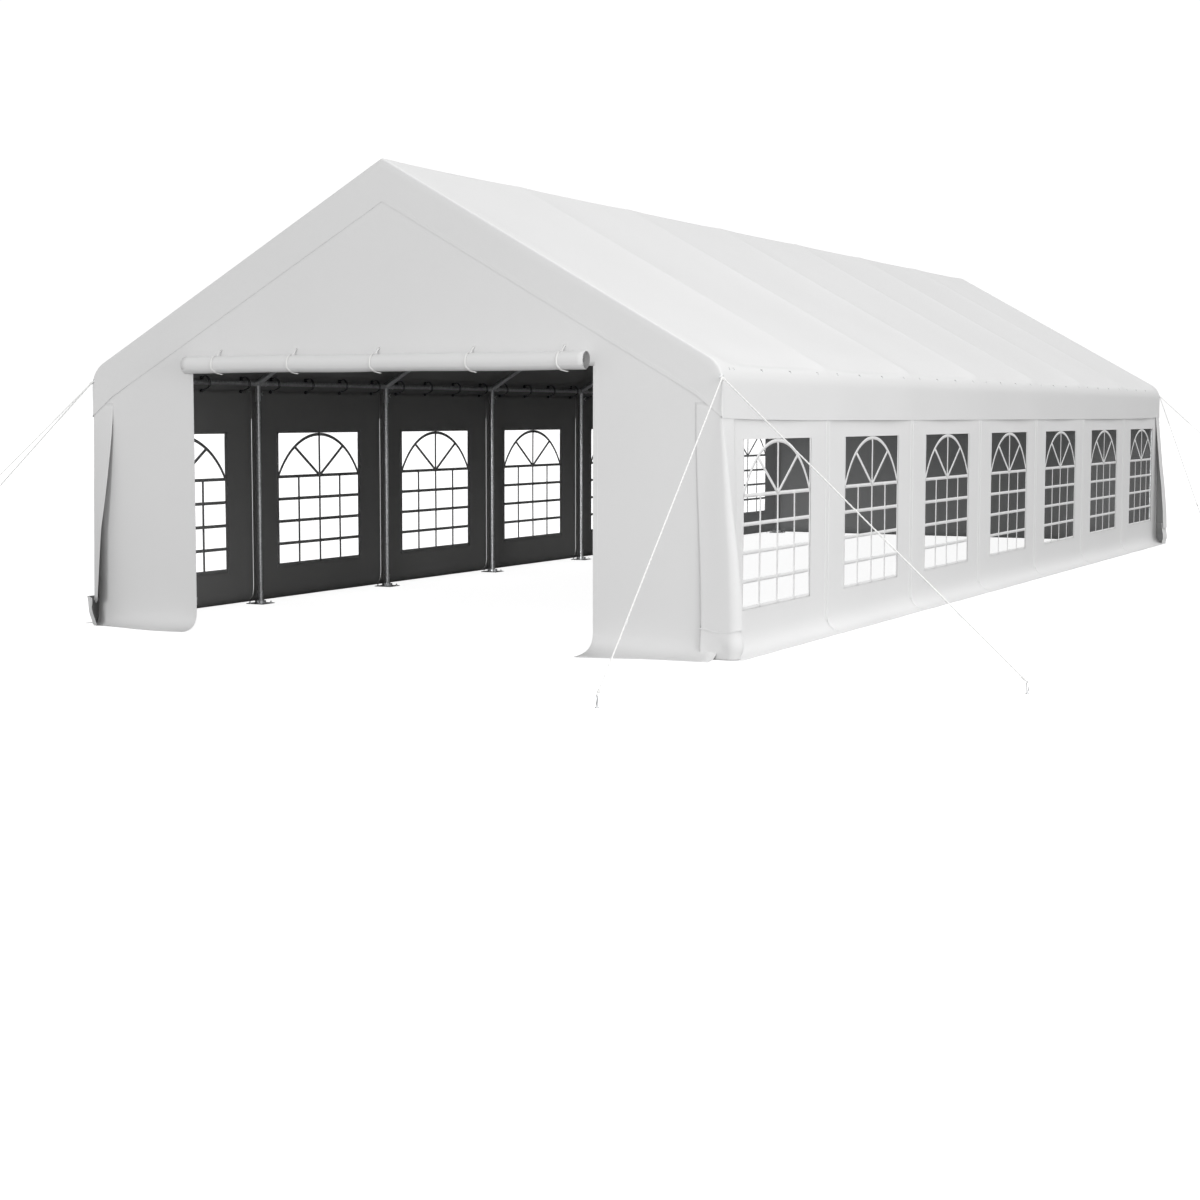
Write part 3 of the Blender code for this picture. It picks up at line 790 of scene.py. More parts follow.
def window_lattice(shape, middle, width):
    """Add the flat bars of one window: its edge bars and the panes below the transom."""
    half = WINDOW_WIDTH / 2
    transom = WINDOW_HEAD - TRANSOM_SHARE * (WINDOW_HEAD - WINDOW_SILL)
    bars_x = [middle + share * half for share in (-0.5, 0.0, 0.5)]
    bars_z = [WINDOW_SILL + (transom - WINDOW_SILL) * row / WINDOW_ROWS for row in range(1, WINDOW_ROWS + 1)]
    stops = [middle - half - BAR_LAP, middle - half + EDGE_BAR]
    stops += [edge for bar in bars_x for edge in (bar - width / 2, bar + width / 2)]
    stops += [middle + half - EDGE_BAR, middle + half + BAR_LAP]
    columns = stations(stops, [1, 4] * 4 + [1])
    levels = [WINDOW_SILL - BAR_LAP, WINDOW_SILL + EDGE_BAR]
    levels += [edge for bar in bars_z for edge in (bar - width / 2, bar + width / 2)]
    levels += [WINDOW_HEAD + BAR_LAP]
    rows = stations(levels, [1, 3] * WINDOW_ROWS + [1, 5])
    flat = cloth_grid(columns, rows)
    panes = []
    for left, right in zip(stops[1::2], stops[2::2]):
        for low, high in zip(levels[1:-1:2], levels[2:-1:2]):
            panes += faces_between(flat, left, right, low, high)
    for left, right in ((stops[1], bars_x[1] - width / 2), (bars_x[1] + width / 2, stops[-2])):
        panes += faces_between(flat, left, right, levels[-2], levels[-1])
    bmesh.ops.delete(flat, geom=panes, context="FACES")
    add_shape(shape, flat)


def window_fan(shape, middle, width):
    """Add the flat arch on the transom and the two slanting bars that meet it."""
    half = WINDOW_WIDTH / 2
    rise = TRANSOM_SHARE * (WINDOW_HEAD - WINDOW_SILL)
    transom = WINDOW_HEAD - rise
    radius = (half * half + rise * rise) / (2 * rise)
    reach = atan2(half, radius - rise)
    centre = Vector((middle, WINDOW_HEAD - radius, 0.0003))
    arch = bmesh.new()
    ends = [arch.verts.new((0, out, 0)) for out in (radius - width, radius)]
    arch.edges.new(ends)
    bmesh.ops.rotate(arch, verts=ends, cent=(0, 0, 0), matrix=Matrix.Rotation(reach, 3, "Z"))
    bmesh.ops.spin(
        arch, geom=[*arch.verts, *arch.edges], cent=(0, 0, 0), axis=(0, 0, -1), angle=2 * reach,
        steps=28, use_merge=False, use_duplicate=False)
    bmesh.ops.reverse_faces(arch, faces=arch.faces)
    add_shape(shape, arch, 0, Matrix.Translation(centre))
    for lean in (-1, 1):
        way = Vector((lean * cos(FAN_ANGLE), sin(FAN_ANGLE)))
        drop = radius - rise
        length = -drop * way.y + sqrt((drop * way.y) ** 2 + radius * radius - drop * drop)
        hub = Vector((middle, transom))
        add_ribbon(shape, hub, hub + way * (length - width / 2), width, 6, 0.00015)


class MARQUEE_OT_windows(bpy.types.Operator):
    """Model the clear panes and their arched bars"""

    bl_idname = "marquee.windows"
    bl_label = "Windows"

    def execute(self, context):
        width = context.scene.marquee_sizes.bar_width
        behind = context.scene.marquee_sizes.cloth_thickness + 0.0003
        for side, sign in SIDES:
            panes = bmesh.new()
            bars = bmesh.new()
            for bay in range(BAYS):
                middle = (bay + 0.5 - BAYS / 2) * BAY
                self.add_pane(panes, middle, sign)
                window_lattice(bars, middle, width)
                window_fan(bars, middle, width)
            bend_cloth(bars, lambda y, z, height: self.on_wall(sign, y, z, height - behind))
            film_depth = behind + BAR_DEPTH + 0.0004
            bend_cloth(panes, lambda y, z, height: self.on_wall(sign, y, z, height - film_depth))
            for shape in (panes, bars):
                shape.normal_update()
                turn_outwards(shape, Vector((0, 0, 0.9)))
            film = new_piece(
                f"{side}_window_panes", panes, ["window_film"],
                [f"{side}_window_film"])
            thicken(film, 0.0006)
            # The bars' inner side takes the grey painted-shade finish, so they look shaded from inside the tent
            lattice = new_piece(
                f"{side}_window_bars", bars, ["wall_cloth_outside", "cloth_inside_painted_shade"])
            thicken(lattice, BAR_DEPTH)
        return {"FINISHED"}

    def on_wall(self, sign, y, z, height):
        """Place of a flat window's point on the side wall."""
        return Vector((sign * (WALL_X + side_bulge(sign, y, z) + height), y, z))

    def add_pane(self, shape, middle, sign):
        """Add one flat pane that ripples a little inwards."""
        half = WINDOW_WIDTH / 2 + 0.02
        pane = cloth_grid(
            stations([middle - half, middle + half], [16]),
            stations([WINDOW_SILL - 0.02, WINDOW_HEAD + 0.02], [14]))
        for vert in pane.verts:
            across = abs(vert.co.x - middle) / half
            up = abs(vert.co.y - (WINDOW_SILL + WINDOW_HEAD) / 2) / (WINDOW_HEAD - WINDOW_SILL) * 1.93
            calm = (1 - across ** 2) * (1 - up ** 2)
            vert.co.z = -0.002 * calm * abs(wrinkle(0, vert.co.x * 2.5, vert.co.y * 2.5, sign))
        add_shape(shape, pane)


JAMB_HEMS = {("front", -1): 0.020, ("front", 1): 0.034, ("rear", -1): 0.034, ("rear", 1): 0.034}


def end_reach(sign, x):
    """How far a gable wall's flap lies out: furthest at the front door's right jamb."""
    if sign > 0:
        return END_REACH
    if x > 0:
        return 0.17 + 0.13 * ease(x, 2.25, DOOR_X)
    return 0.08 + 0.11 * ease(-x, 2.5, 1.8)


def gable_place(sign, x, up, height):
    """Place of a point of a gable wall's cut, with soft creases below the border."""
    out, z = wall_section(up, end_reach(sign, x))
    calm = ease(z, 0.1, 0.5) * ease(border_foot_z(x) - z, -0.02, 0.45) * ease(2.4 - abs(x), 0.0, 0.4)
    crease = 0.004 * calm * wrinkle(x * 0.9, 0, z * 0.8, sign + 3)
    crease += 0.0015 * calm * wrinkle(x * 2.6, 0, z * 1.7, sign + 6)
    ripple = 0.08 * (1 - ease(z, 0.0, 0.12)) * wrinkle(x * 2.2, 0, 0, sign + 8)
    return Vector((x, sign * (END_Y + out * (1 + ripple) + crease + height), z))


class MARQUEE_OT_gables(bpy.types.Operator):
    """Model the front and rear gable walls with their doorways and ground flaps"""

    bl_idname = "marquee.gables"
    bl_label = "Gable walls"

    def execute(self, context):
        sizes = context.scene.marquee_sizes
        side_x = WALL_X - 0.0195
        for end, sign in ENDS:
            left = JAMB_HEMS[end, -1]
            right = JAMB_HEMS[end, 1]
            columns = stations(
                [-side_x, -DOOR_X - left, -DOOR_X, 0, DOOR_X, DOOR_X + right, side_x],
                [12, 2, 18, 18, 2, 12])
            rows = wall_rows([DOOR_Z, DOOR_Z + sizes.tape_width, RIDGE_Z], [20, 1, 16])
            shape = cloth_grid(columns, rows)
            hole = faces_between(shape, -DOOR_X, DOOR_X, -1, DOOR_Z)
            bmesh.ops.delete(shape, geom=hole, context="FACES")
            hem = faces_between(shape, -DOOR_X - left, -DOOR_X, -1, DOOR_Z)
            hem += faces_between(shape, DOOR_X, DOOR_X + right, -1, DOOR_Z)
            raise_tape(shape, hem, sizes.tape_height * 0.7)
            bend_cloth(shape, lambda x, up, height: gable_place(sign, x, up, height))
            self.trim_to_roof(shape)
            new_cloth(
                f"{end}_gable_cloth", shape, "wall_cloth_outside",
                [f"{end}_wall_gable", f"{end}_wall_left", f"{end}_wall_right"])
        return {"FINISHED"}

    def trim_to_roof(self, shape):
        """Cut the wall along both slopes and round both eaves."""
        centre = Vector((ROOF_X - EAVE_RADIUS, 0, EAVE_Z))
        for side in (-1, 1):
            for angle in (EAVE_TURN, EAVE_TURN * 0.66, EAVE_TURN * 0.33):
                out = Vector((side * cos(angle), 0, sin(angle)))
                point = Vector((side * centre.x, 0, centre.z)) + out * (EAVE_RADIUS - 0.009)
                geom = [*shape.verts, *shape.edges, *shape.faces]
                bmesh.ops.bisect_plane(
                    shape, geom=geom, dist=0.00001, plane_co=point, plane_no=out, clear_outer=True)


TIE_PLACES = (-1.37, -0.72, -0.035, 0.72, 1.41)
TIE_WIDTH = 0.015
HEM_TURN = 0.17
GROOVE_TURN = 0.19
ROLL_CORE = 0.016
# Where the door's free edge lies: an angle from the inward direction, at the bottom of the roll
ROLL_EDGE_ANGLE = radians(272)


def roll_radius(turn, x):
    """Radius of the rolled door at some turns in from its outer edge."""
    turns = bpy.context.scene.marquee_sizes.roll_turns
    outer = ROLL_RADIUS - 0.001
    first = 0.0024 * min(turn, 1.0)
    rest = (outer - first - ROLL_CORE) / (turns - 1) * max(0.0, turn - 1)
    pinch = max(exp(-((x - tie) / 0.06) ** 2) for tie in TIE_PLACES)
    return outer - first - rest - 0.0015 * pinch * (1 - turn / turns)


class MARQUEE_OT_door_roll(bpy.types.Operator):
    """Model the front door as a real roll of cloth, held up by ribbon ties"""

    bl_idname = "marquee.door_roll"
    bl_label = "Rolled-up front door"

    def execute(self, context):
        sizes = context.scene.marquee_sizes
        turns = sizes.roll_turns
        columns = stations([ROLL_LOW.x, ROLL_HIGH.x], [72])
        rows = stations([0, HEM_TURN, GROOVE_TURN, 1.2, turns], [7, 1, 34, 14 * (turns - 1)])
        shape = cloth_grid(columns, rows)
        raise_tape(shape, faces_between(shape, -9, 9, 0, HEM_TURN), sizes.tape_height)
        bend_cloth(shape, self.roll_place)
        # The roll's cut edges and inner turns take the grey painted-shade finish, which paints the shade in the
        # spiral's end
        new_cloth(
            "front_door_cloth", shape, "wall_cloth_outside", ["front_door_roll"],
            (0, ROLL_Y, ROLL_Z), 1)
        ties = bmesh.new()
        for index, x in enumerate(TIE_PLACES):
            self.add_tie(ties, x, index)
        ties.normal_update()
        piece = new_piece("door_ribbon_ties", ties, ["white_ribbon"])
        thicken(piece, 0.0012, 0.0)
        return {"FINISHED"}

    def roll_place(self, x, turn, height):
        """Place on the spiral, which ends at the bottom of the roll."""
        radius = roll_radius(turn, x) + height
        angle = ROLL_EDGE_ANGLE - 2 * pi * turn
        sag = 0.002 * sin(5.1 * x) + 0.0015 * wrinkle(x * 1.4, 0, 0, 2)
        skew = 0.0008 * wrinkle(x * 2.0, turn * 0.7, 0, 5)
        inwards = 0.016 * ease(turn, 0.4, 2.0) + 0.004 * wrinkle(turn * 1.3, 0, 0, 8)
        side = 1 if x > (ROLL_LOW.x + ROLL_HIGH.x) / 2 else -1
        inwards *= ease(abs(x), 1.45, 1.6)
        return Vector((
            x - side * inwards, ROLL_Y + (radius + skew) * cos(angle),
            ROLL_Z + (radius + skew) * sin(angle) + sag))

    def add_tie(self, shape, x, index):
        """Add a ribbon from the wall, over the roll, under it and on to a short tail."""
        reach = ROLL_RADIUS + 0.002
        places = [Vector((x + 0.004, -END_Y - 0.003, ROLL_Z + 0.108))]
        for step in range(8):
            angle = radians(80 + 26 * step)
            slide = 0.002 * step if step > 5 else 0.0
            places.append(Vector((
                x + slide, ROLL_Y + reach * cos(angle), ROLL_Z + reach * sin(angle))))
        knot = places[-1]
        for step in range(1, 4):
            sway = 0.004 * wrinkle(index * 3.1, step * 0.8, 0)
            places.append(knot + Vector((0.014 * step, 0.006 + sway, -0.003 * step)))
        line = smooth_line(places, 3)
        strip = cloth_grid([-TIE_WIDTH / 2, 0, TIE_WIDTH / 2], list(range(len(line))))
        for vert in strip.verts:
            at = line[round(vert.co.y)]
            cup = 0.0008 * (1 if abs(vert.co.x) < 0.001 else 0)
            vert.co = at + Vector((vert.co.x, -cup, 0.25 * vert.co.x))
        add_shape(shape, strip)


class MARQUEE_OT_door_curtain(bpy.types.Operator):
    """Model the rear door's curtain, shut between its zips"""

    bl_idname = "marquee.door_curtain"
    bl_label = "Rear door curtain"

    def execute(self, context):
        half = DOOR_X - 0.004
        columns = stations([-half, -half + 0.03, -0.015, 0.015, half - 0.03, half], [1, 26, 1, 26, 1])
        rows = wall_rows([DOOR_Z - 0.03, DOOR_Z - 0.001], [18, 1])
        shape = cloth_grid(columns, rows)
        raise_tape(shape, faces_between(shape, -0.015, 0.015, -1, DOOR_Z), 0.001)
        bend_cloth(shape, self.curtain_place)
        new_cloth(
            "rear_door_cloth", shape, "wall_cloth_outside", ["rear_door_curtain"])
        zips = bmesh.new()
        for side in (-1, 1):
            self.add_zip(zips, side * (DOOR_X - 0.002), END_Y + 0.0016, 1)
            self.add_zip(zips, side * (DOOR_X + 0.005), -END_Y + 0.0017, 1)
        new_piece("door_zips", zips, ["white_zip", "galvanised_tube"])
        return {"FINISHED"}

    def curtain_place(self, x, up, height):
        """Outside of the curtain, with long soft folds down to its flap."""
        out, z = wall_section(up, END_REACH)
        calm = ease(DOOR_X - abs(x), 0.0, 0.25) * (1 - ease(z, 1.6, 1.9))
        fold = 0.010 * calm * wrinkle(x * 2.2, 0, z * 0.25, 4)
        fold += 0.003 * calm * wrinkle(x * 6.0, 0, z * 0.5, 5)
        return Vector((x, END_Y - 0.0004 + out + fold + height, z))

    def add_zip(self, shape, x, face, way):
        """Add a zip's teeth and its slider on a jamb."""
        teeth = 220
        for tooth in range(teeth):
            z = 0.20 + (DOOR_Z - 0.22) * tooth / teeth
            lean = 0.0006 * (1 if tooth % 2 else -1)
            add_box(
                shape, (x - 0.0035 + lean, face, z),
                (x + 0.0035 + lean, face + way * 0.0024, z + 0.0045))
        slider = 0.22
        add_box(shape, (x - 0.007, face, slider), (x + 0.007, face + 0.006, slider + 0.022), 1, 0.0015)
        add_box(
            shape, (x - 0.004, face + 0.005, slider - 0.035),
            (x + 0.004, face + 0.0075, slider + 0.008), 1)


# Corner covers by height: how far they stand out on the end face and on the side face,
# and how far the end face's free edge swings away from the gable wall
COVER_TOP = (1.60, 0.0, 0.0, 0.0)
WIDE_COVER = (
    COVER_TOP, (1.46, 0.001, 0.010, 0.0), (0.95, 0.006, 0.066, 0.0), (0.70, 0.010, 0.100, 0.0),
    (0.40, 0.016, 0.128, 0.002), (0.18, 0.020, 0.136, 0.004),
)
SWUNG_COVER = (
    COVER_TOP, (1.20, 0.004, 0.006, 0.045), (0.75, 0.010, 0.012, 0.090), (0.18, 0.018, 0.018, 0.140),
)
WIDE_BOOT = (
    (0.26, 0.006, 0.112, 0.0), (0.17, 0.016, 0.126, 0.004), (0.06, 0.024, 0.132, 0.010),
    (0.003, 0.028, 0.120, 0.014),
)
FLARED_BOOT = (
    (0.215, 0.055, 0.075, 0.145), (0.12, 0.042, 0.050, 0.142), (0.003, 0.032, 0.026, 0.136),
)
# For each corner: cover, boot, and how much of the side face's reach its free edge gives back
CORNER_SHAPES = {
    "front_right": (WIDE_COVER, WIDE_BOOT, 0.75),
    "front_left": (SWUNG_COVER, FLARED_BOOT, 0.60),
    "rear_right": (WIDE_COVER, WIDE_BOOT, 0.12),
    "rear_left": (WIDE_COVER, WIDE_BOOT, 0.75),
}
COVER_SIDE_REACH = 0.195
COVER_GIRTH = 0.44
COVER_STAND = 0.0022


def widening(levels, height):
    """Shape of a cover at a height, smooth between its levels."""
    for (top, *above), (low, *below) in zip(levels, levels[1:]):
        if height >= low:
            share = max(0.0, min(1.0, (height - low) / (top - low)))
            return [b + share * (a - b) for a, b in zip(above, below)]
    return levels[-1][1:]


def corner_path(levels, height, edge_x, give):
    """Points round a corner at one height, from the end face to the side face."""
    end_out, side_out, swing = widening(levels, height)
    x = WALL_X + COVER_STAND + side_out
    y = END_Y + COVER_STAND + end_out
    radius = 0.014 + 0.4 * side_out
    width = x - edge_x
    points = [Vector((
        x - sqrt(max(0.02, width * width - swing * swing)),
        END_Y + COVER_STAND + 0.3 * end_out + swing))]
    for step in range(9):
        angle = pi / 2 * (1 - step / 8)
        points.append(Vector((x - radius + radius * cos(angle), y - radius + radius * sin(angle))))
    points.append(Vector((x - give * side_out, END_Y - COVER_SIDE_REACH)))
    return points


def point_along(points, share):
    """Point at a share of the length of a line of points."""
    lengths = [(end - start).length for start, end in zip(points, points[1:])]
    left = share * sum(lengths)
    for start, end, length in zip(points, points[1:], lengths):
        if left <= length:
            return start.lerp(end, left / length)
        left -= length
    return points[-1].copy()


class MARQUEE_OT_corner_covers(bpy.types.Operator):
    """Model the flared cover and the boot at each corner post"""

    bl_idname = "marquee.corner_covers"
    bl_label = "Corner covers"

    def execute(self, context):
        sizes = context.scene.marquee_sizes
        for corner, sx, sy in CORNERS:
            cover, boot, give = CORNER_SHAPES[corner]
            for kind, levels, rows, counts in (
                ("sleeve", cover, [1.66, 1.50, 0.30, 0.205, 0.195], [4, 22, 4, 1]),
                ("boot", boot, [boot[0][0], 0.15, 0.028, 0.003], [6, 8, 2]),
            ):
                columns = stations([0, 0.012, COVER_GIRTH - 0.012, COVER_GIRTH], [1, 34, 1])
                shape = cloth_grid(columns, stations(rows[::-1], counts[::-1]))
                if kind == "sleeve":
                    hem = faces_between(shape, -1, 1, 0, 0.205)
                    raise_tape(shape, hem, sizes.tape_height * 2)
                bend_cloth(
                    shape, lambda across, up, height: self.cover_place(
                        kind, levels, give, sx, sy, across, up, height))
                length = rows[0] - rows[-1]
                middle = (sx * (RAIL_X - 0.2), sy * (END_FRAME_Y - 0.2), length / 2)
                new_cloth(
                    f"corner_{kind}_{corner}", shape, "wall_cloth_outside",
                    [f"corner_cover_{corner}"],
                    middle)
        return {"FINISHED"}

    def cover_place(self, kind, levels, give, sx, sy, across, height, raised):
        """Place on a corner's cover or boot, with its folds."""
        share = across / COVER_GIRTH
        edge_x = 2.356 + 0.045 * ease(1.6 - height, 0.0, 1.4)
        points = corner_path(levels, height, edge_x, give)
        point = point_along(points, share)
        ahead = point_along(points, min(1.0, share + 0.02)) - point_along(points, max(0.0, share - 0.02))
        out = Vector((-ahead.y, ahead.x)).normalized()
        z = height
        if kind == "sleeve":
            loose = ease(1.5 - height, 0.0, 0.9)
            fold = 0.005 * loose * wrinkle(share * 3.0, 0, height * 0.7, sx + 2 * sy)
            top = max(VALANCE_Z + 0.04, min(border_foot_z(point.x) + 0.02, 1.66))
            z = height - (1.66 - top) * ease(height, 1.44, 1.66)
            z -= 0.024 * (1 - ease(height, 0.195, 0.45)) * sin(pi * min(1.0, share * 1.7)) ** 2
        else:
            fold = 0.004 * wrinkle(share * 5.0, 0, height * 12.0, sx + 2 * sy)
            fold += 0.006 * wrinkle(share * 2.5, 0, height * 4.0, 3 * sx + sy)
            fold += 0.008 * sin(pi * ease(height, 0.0, 0.2))
        point = point + out * (fold + raised)
        return Vector((sx * point.x, sy * point.y, z))


SLEEVE_RADIUS = 0.024
SLEEVE_REACH = 0.12
SLEEVE_END_REACH = 0.065
SOCKET_LENGTH = 0.15


class MARQUEE_OT_portal_frames(bpy.types.Operator):
    """Model the eight steel portal frames with their sleeves, bolts and foot plates"""

    bl_idname = "marquee.portal_frames"
    bl_label = "Portal frames"

    def execute(self, context):
        for line, y in enumerate(FRAME_LINES):
            shape = bmesh.new()
            end = -1 if line == 0 else 1 if line == BAYS else 0
            self.add_frame(shape, y, end)
            new_piece(
                f"steel_frame_{line + 1}", shape, ["galvanised_tube"],
                [f"portal_frame_{line + 1}"], 40.0)
        return {"FINISHED"}

    def add_frame(self, shape, y, end):
        """Add both posts, both rafters and the ridge fitting of one frame."""
        slope = atan2(RIDGE_RAIL_Z - RAIL_Z, RAIL_X)
        ridge = Vector((0, y, RIDGE_RAIL_Z))
        for side in (-1, 1):
            node = Vector((side * RAIL_X, y, RAIL_Z))
            along = Vector((-side * cos(slope), 0, sin(slope)))
            foot = Vector((node.x, y, 0))
            add_tube(shape, foot + Vector((0, 0, 0.003)), node, TUBE_RADIUS, 24)
            add_tube(shape, node, ridge, TUBE_RADIUS, 24)
            self.add_sleeve(shape, node - Vector((0, 0, SOCKET_LENGTH)), node)
            self.add_sleeve(shape, node + along * SOCKET_LENGTH, node)
            self.add_sleeve(shape, ridge - along * SOCKET_LENGTH, ridge)
            self.add_rail_sleeve(shape, node, end)
            self.add_foot(shape, foot, side)
            inwards = Vector((-side, 0, 0))
            self.add_bolt(shape, node + Vector((0, 0, -0.11)), Vector((0, 1, 0)))
            self.add_wing_bolt(shape, node + Vector((0, 0, -0.085)), inwards)
            self.add_bolt(shape, node + along * 0.11, Vector((0, 1, 0)))
            self.add_bolt(shape, ridge - along * 0.11, Vector((0, 1, 0)))
        self.add_rail_sleeve(shape, ridge, end)

    def add_sleeve(self, shape, start, end):
        """Add a sleeve with a rolled rim at its open end."""
        way = (Vector(end) - Vector(start)).normalized()
        add_tube(shape, start, end, SLEEVE_RADIUS, 24)
        place = Matrix.Translation(start + way * 0.003) @ way.to_track_quat("Z", "Y").to_matrix().to_4x4()
        add_ring(shape, place, SLEEVE_RADIUS, 0.0022, 24, 8)

    def add_rail_sleeve(self, shape, node, end):
        """Add the sleeve that holds two lengths of rail, with its bolts."""
        back = SLEEVE_END_REACH if end > 0 else SLEEVE_REACH
        front = SLEEVE_END_REACH if end < 0 else SLEEVE_REACH
        self.add_sleeve(shape, node - Vector((0, front, 0)), node)
        self.add_sleeve(shape, node + Vector((0, back, 0)), node)
        inwards = Vector((-1 if node.x > 0.1 else 1, 0, 0))
        for place in (-front + 0.025, back - 0.025):
            self.add_bolt(shape, node + Vector((0, place, 0)), inwards)

    def add_bolt(self, shape, place, way):
        """Add a hexagon head with its washer on a sleeve."""
        seat = place + way * (SLEEVE_RADIUS - 0.001)
        add_tube(shape, seat, seat + way * 0.0025, 0.0085, 16)
        add_tube(shape, seat + way * 0.002, seat + way * 0.0085, 0.0062, 6)
        add_tube(shape, seat + way * 0.008, seat + way * 0.014, 0.0033, 10)

    def add_wing_bolt(self, shape, place, way):
        """Add a screw with two wings on a sleeve."""
        seat = place + way * (SLEEVE_RADIUS - 0.001)
        head = seat + way * 0.020
        add_tube(shape, seat, head, 0.0042, 12)
        for lift in (-1, 1):
            tip = head + way * 0.010 + Vector((0, 0, lift * 0.017))
            add_cord(shape, smooth_line([seat + way * 0.012, head + Vector((0, 0, lift * 0.008)), tip], 4), 0.003)

    def add_foot(self, shape, foot, side):
        """Add a foot plate with its socket, gussets and two peg heads."""
        half = 0.085
        add_box(
            shape, foot + Vector((-half, -half, 0.0002)), foot + Vector((half, half, 0.006)),
            round_edges=0.0015)
        self.add_sleeve(shape, foot + Vector((0, 0, 0.11)), foot + Vector((0, 0, 0.004)))
        for turn in range(4):
            way = Vector((cos(turn * pi / 2), sin(turn * pi / 2), 0))
            low = foot + way * 0.022 + Vector((0, 0, 0.005))
            across = Vector((abs(way.y), abs(way.x), 0)) * 0.002
            high = foot + way * 0.055 + Vector((0, 0, 0.030))
            add_box(
                shape, [min(a, b) for a, b in zip(low - across, high - across)],
                [max(a, b) for a, b in zip(low + across, high + across)])
        for spread in (-1, 1):
            head = foot + Vector((-side * 0.062 * spread, 0.062 * spread, 0.006))
            add_tube(shape, head, head + Vector((0, 0, 0.005)), 0.011, 14)
            add_tube(shape, head, head + Vector((0, 0, 0.016)), 0.005, 10)


class MARQUEE_OT_rails(bpy.types.Operator):
    """Model the ridge rail and the eave rails in lengths that meet in the sleeves"""

    bl_idname = "marquee.rails"
    bl_label = "Rails"

    def execute(self, context):
        reach = RAIL_HIGH.y
        for name, x, z in (
            ("ridge_rail", 0.0, RIDGE_RAIL_Z), ("left_eave_rail", -RAIL_X, RAIL_Z),
            ("right_eave_rail", RAIL_X, RAIL_Z),
        ):
            shape = bmesh.new()
            stops = [-reach, *FRAME_LINES[1:-1], reach]
            for start, end in zip(stops, stops[1:]):
                add_tube(shape, (x, start, z), (x, end - 0.002, z), TUBE_RADIUS, 24)
            for end in (-1, 1):
                add_tube(shape, (x, end * reach, z), (x, end * (reach + 0.003), z), TUBE_RADIUS + 0.001, 24)
            new_piece(f"{name}_tubes", shape, ["galvanised_tube"], [name], 40.0)
        return {"FINISHED"}


LOOP_PLACES = (-0.18, 0.24, 0.75, 1.28)
# Places of a loop round the rail's axis: inwards and upwards, from the eyelet to the ball
LOOP_ROUTE = ((0.012, 0.050), (0.046, 0.012), (0.042, -0.034), (-0.008, -0.056))
LOOP_WIRE = 0.0035
LOOP_SPREAD = 0.009
BALL_Z = 1.766
EAVE_EYELET_RUN = SLOPE_RUN + EAVE_RUN * 0.55


def roof_normal(run, y):
    """Point and outward direction of the roof's cloth as it hangs."""
    side = 1 if run > 0 else -1
    point = roof_point(run, y)
    below = roof_point(run + side * 0.01, y)
    ahead = roof_point(run, y + 0.01)
    out = (below - point).cross(ahead - point).normalized()
    if out.x * side < 0:
        out.negate()
    return point, out


class MARQUEE_OT_elastic_loops(bpy.types.Operator):
    """Model the elastic ball loops that hold the walls to the rails, and their eyelets"""

    bl_idname = "marquee.elastic_loops"
    bl_label = "Elastic loops and eyelets"

    def execute(self, context):
        sizes = context.scene.marquee_sizes
        for side, sign in SIDES:
            loops = bmesh.new()
            eyelets = bmesh.new()
            for line in range(BAYS):
                for offset in LOOP_PLACES:
                    y = max((line - BAYS / 2) * BAY + offset, 0.16 - END_Y)
                    point, out = roof_normal(sign * EAVE_EYELET_RUN, y)
                    self.add_loop(loops, sign, y, point - out * 0.010, line + offset, sizes.ball_radius)
                    self.add_eyelet(eyelets, point, out, sizes.eyelet_radius)
            new_piece(f"{side}_elastic_loops", loops, ["black_elastic_and_painted_hole_shade", "black_ball"])
            new_piece(
                f"{side}_roof_eyelets", eyelets, ["galvanised_tube", "black_elastic_and_painted_hole_shade"])
        return {"FINISHED"}

    def add_loop(self, shape, sign, y, knot, seed, ball):
        """Add an elastic loop from the roof's eyelet, round the rail, to its ball on the wall."""
        lean = 0.012 * wrinkle(seed * 2.3, 0, 0, sign)
        skin = bpy.context.scene.marquee_sizes.cloth_thickness
        wall = WALL_X + side_bulge(sign, y, BALL_Z) - skin
        hang = Vector((sign * (wall - ball - 0.001), y - lean, BALL_Z))
        for strand in (-1, 1):
            route = [knot]
            for step, (inwards, up) in enumerate(LOOP_ROUTE):
                spread = strand * LOOP_SPREAD * (1.0 if step in (1, 2) else 0.6)
                route.append(Vector((
                    sign * (RAIL_X - inwards), y + spread + lean * (1 - step / 2), RAIL_Z + up)))
            route.append(hang + Vector((0, 0, ball * 0.6)))
            add_cord(shape, smooth_line(route, 5), LOOP_WIRE, 6)
        for lobe in range(4):
            angle = pi / 4 + lobe * pi / 2
            place = knot + Vector((sign * -0.004, 0.013 * cos(angle), 0.013 * sin(angle)))
            self.add_ball(shape, place, 0.0095, 0)
        self.add_ball(shape, hang, ball, 1)

    def add_ball(self, shape, place, radius, index):
        """Add a small ball."""
        part = bmesh.new()
        bmesh.ops.create_uvsphere(part, u_segments=12, v_segments=8, radius=radius)
        add_shape(shape, part, index, Matrix.Translation(place))

    def add_eyelet(self, shape, point, out, radius):
        """Add a small ring on the roof's outside, with the elastic's end in it."""
        place = Matrix.Translation(point + out * 0.0006) @ out.to_track_quat("Z", "Y").to_matrix().to_4x4()
        add_ring(shape, place, radius * 0.72, 0.0017, 16, 6)
        add_tube(shape, point, point + out * 0.002, radius * 0.5, 10, 1)


CORNER_EYELET_Z = 1.82
CORNER_EYELET_RADIUS = 0.0155
CORNER_EYELET_WIRE = 0.0036
PEG_EYE_WIDTH = 0.0085
PEG_EYE_HEIGHT = 0.028
PEG_EYE_Z = 0.042


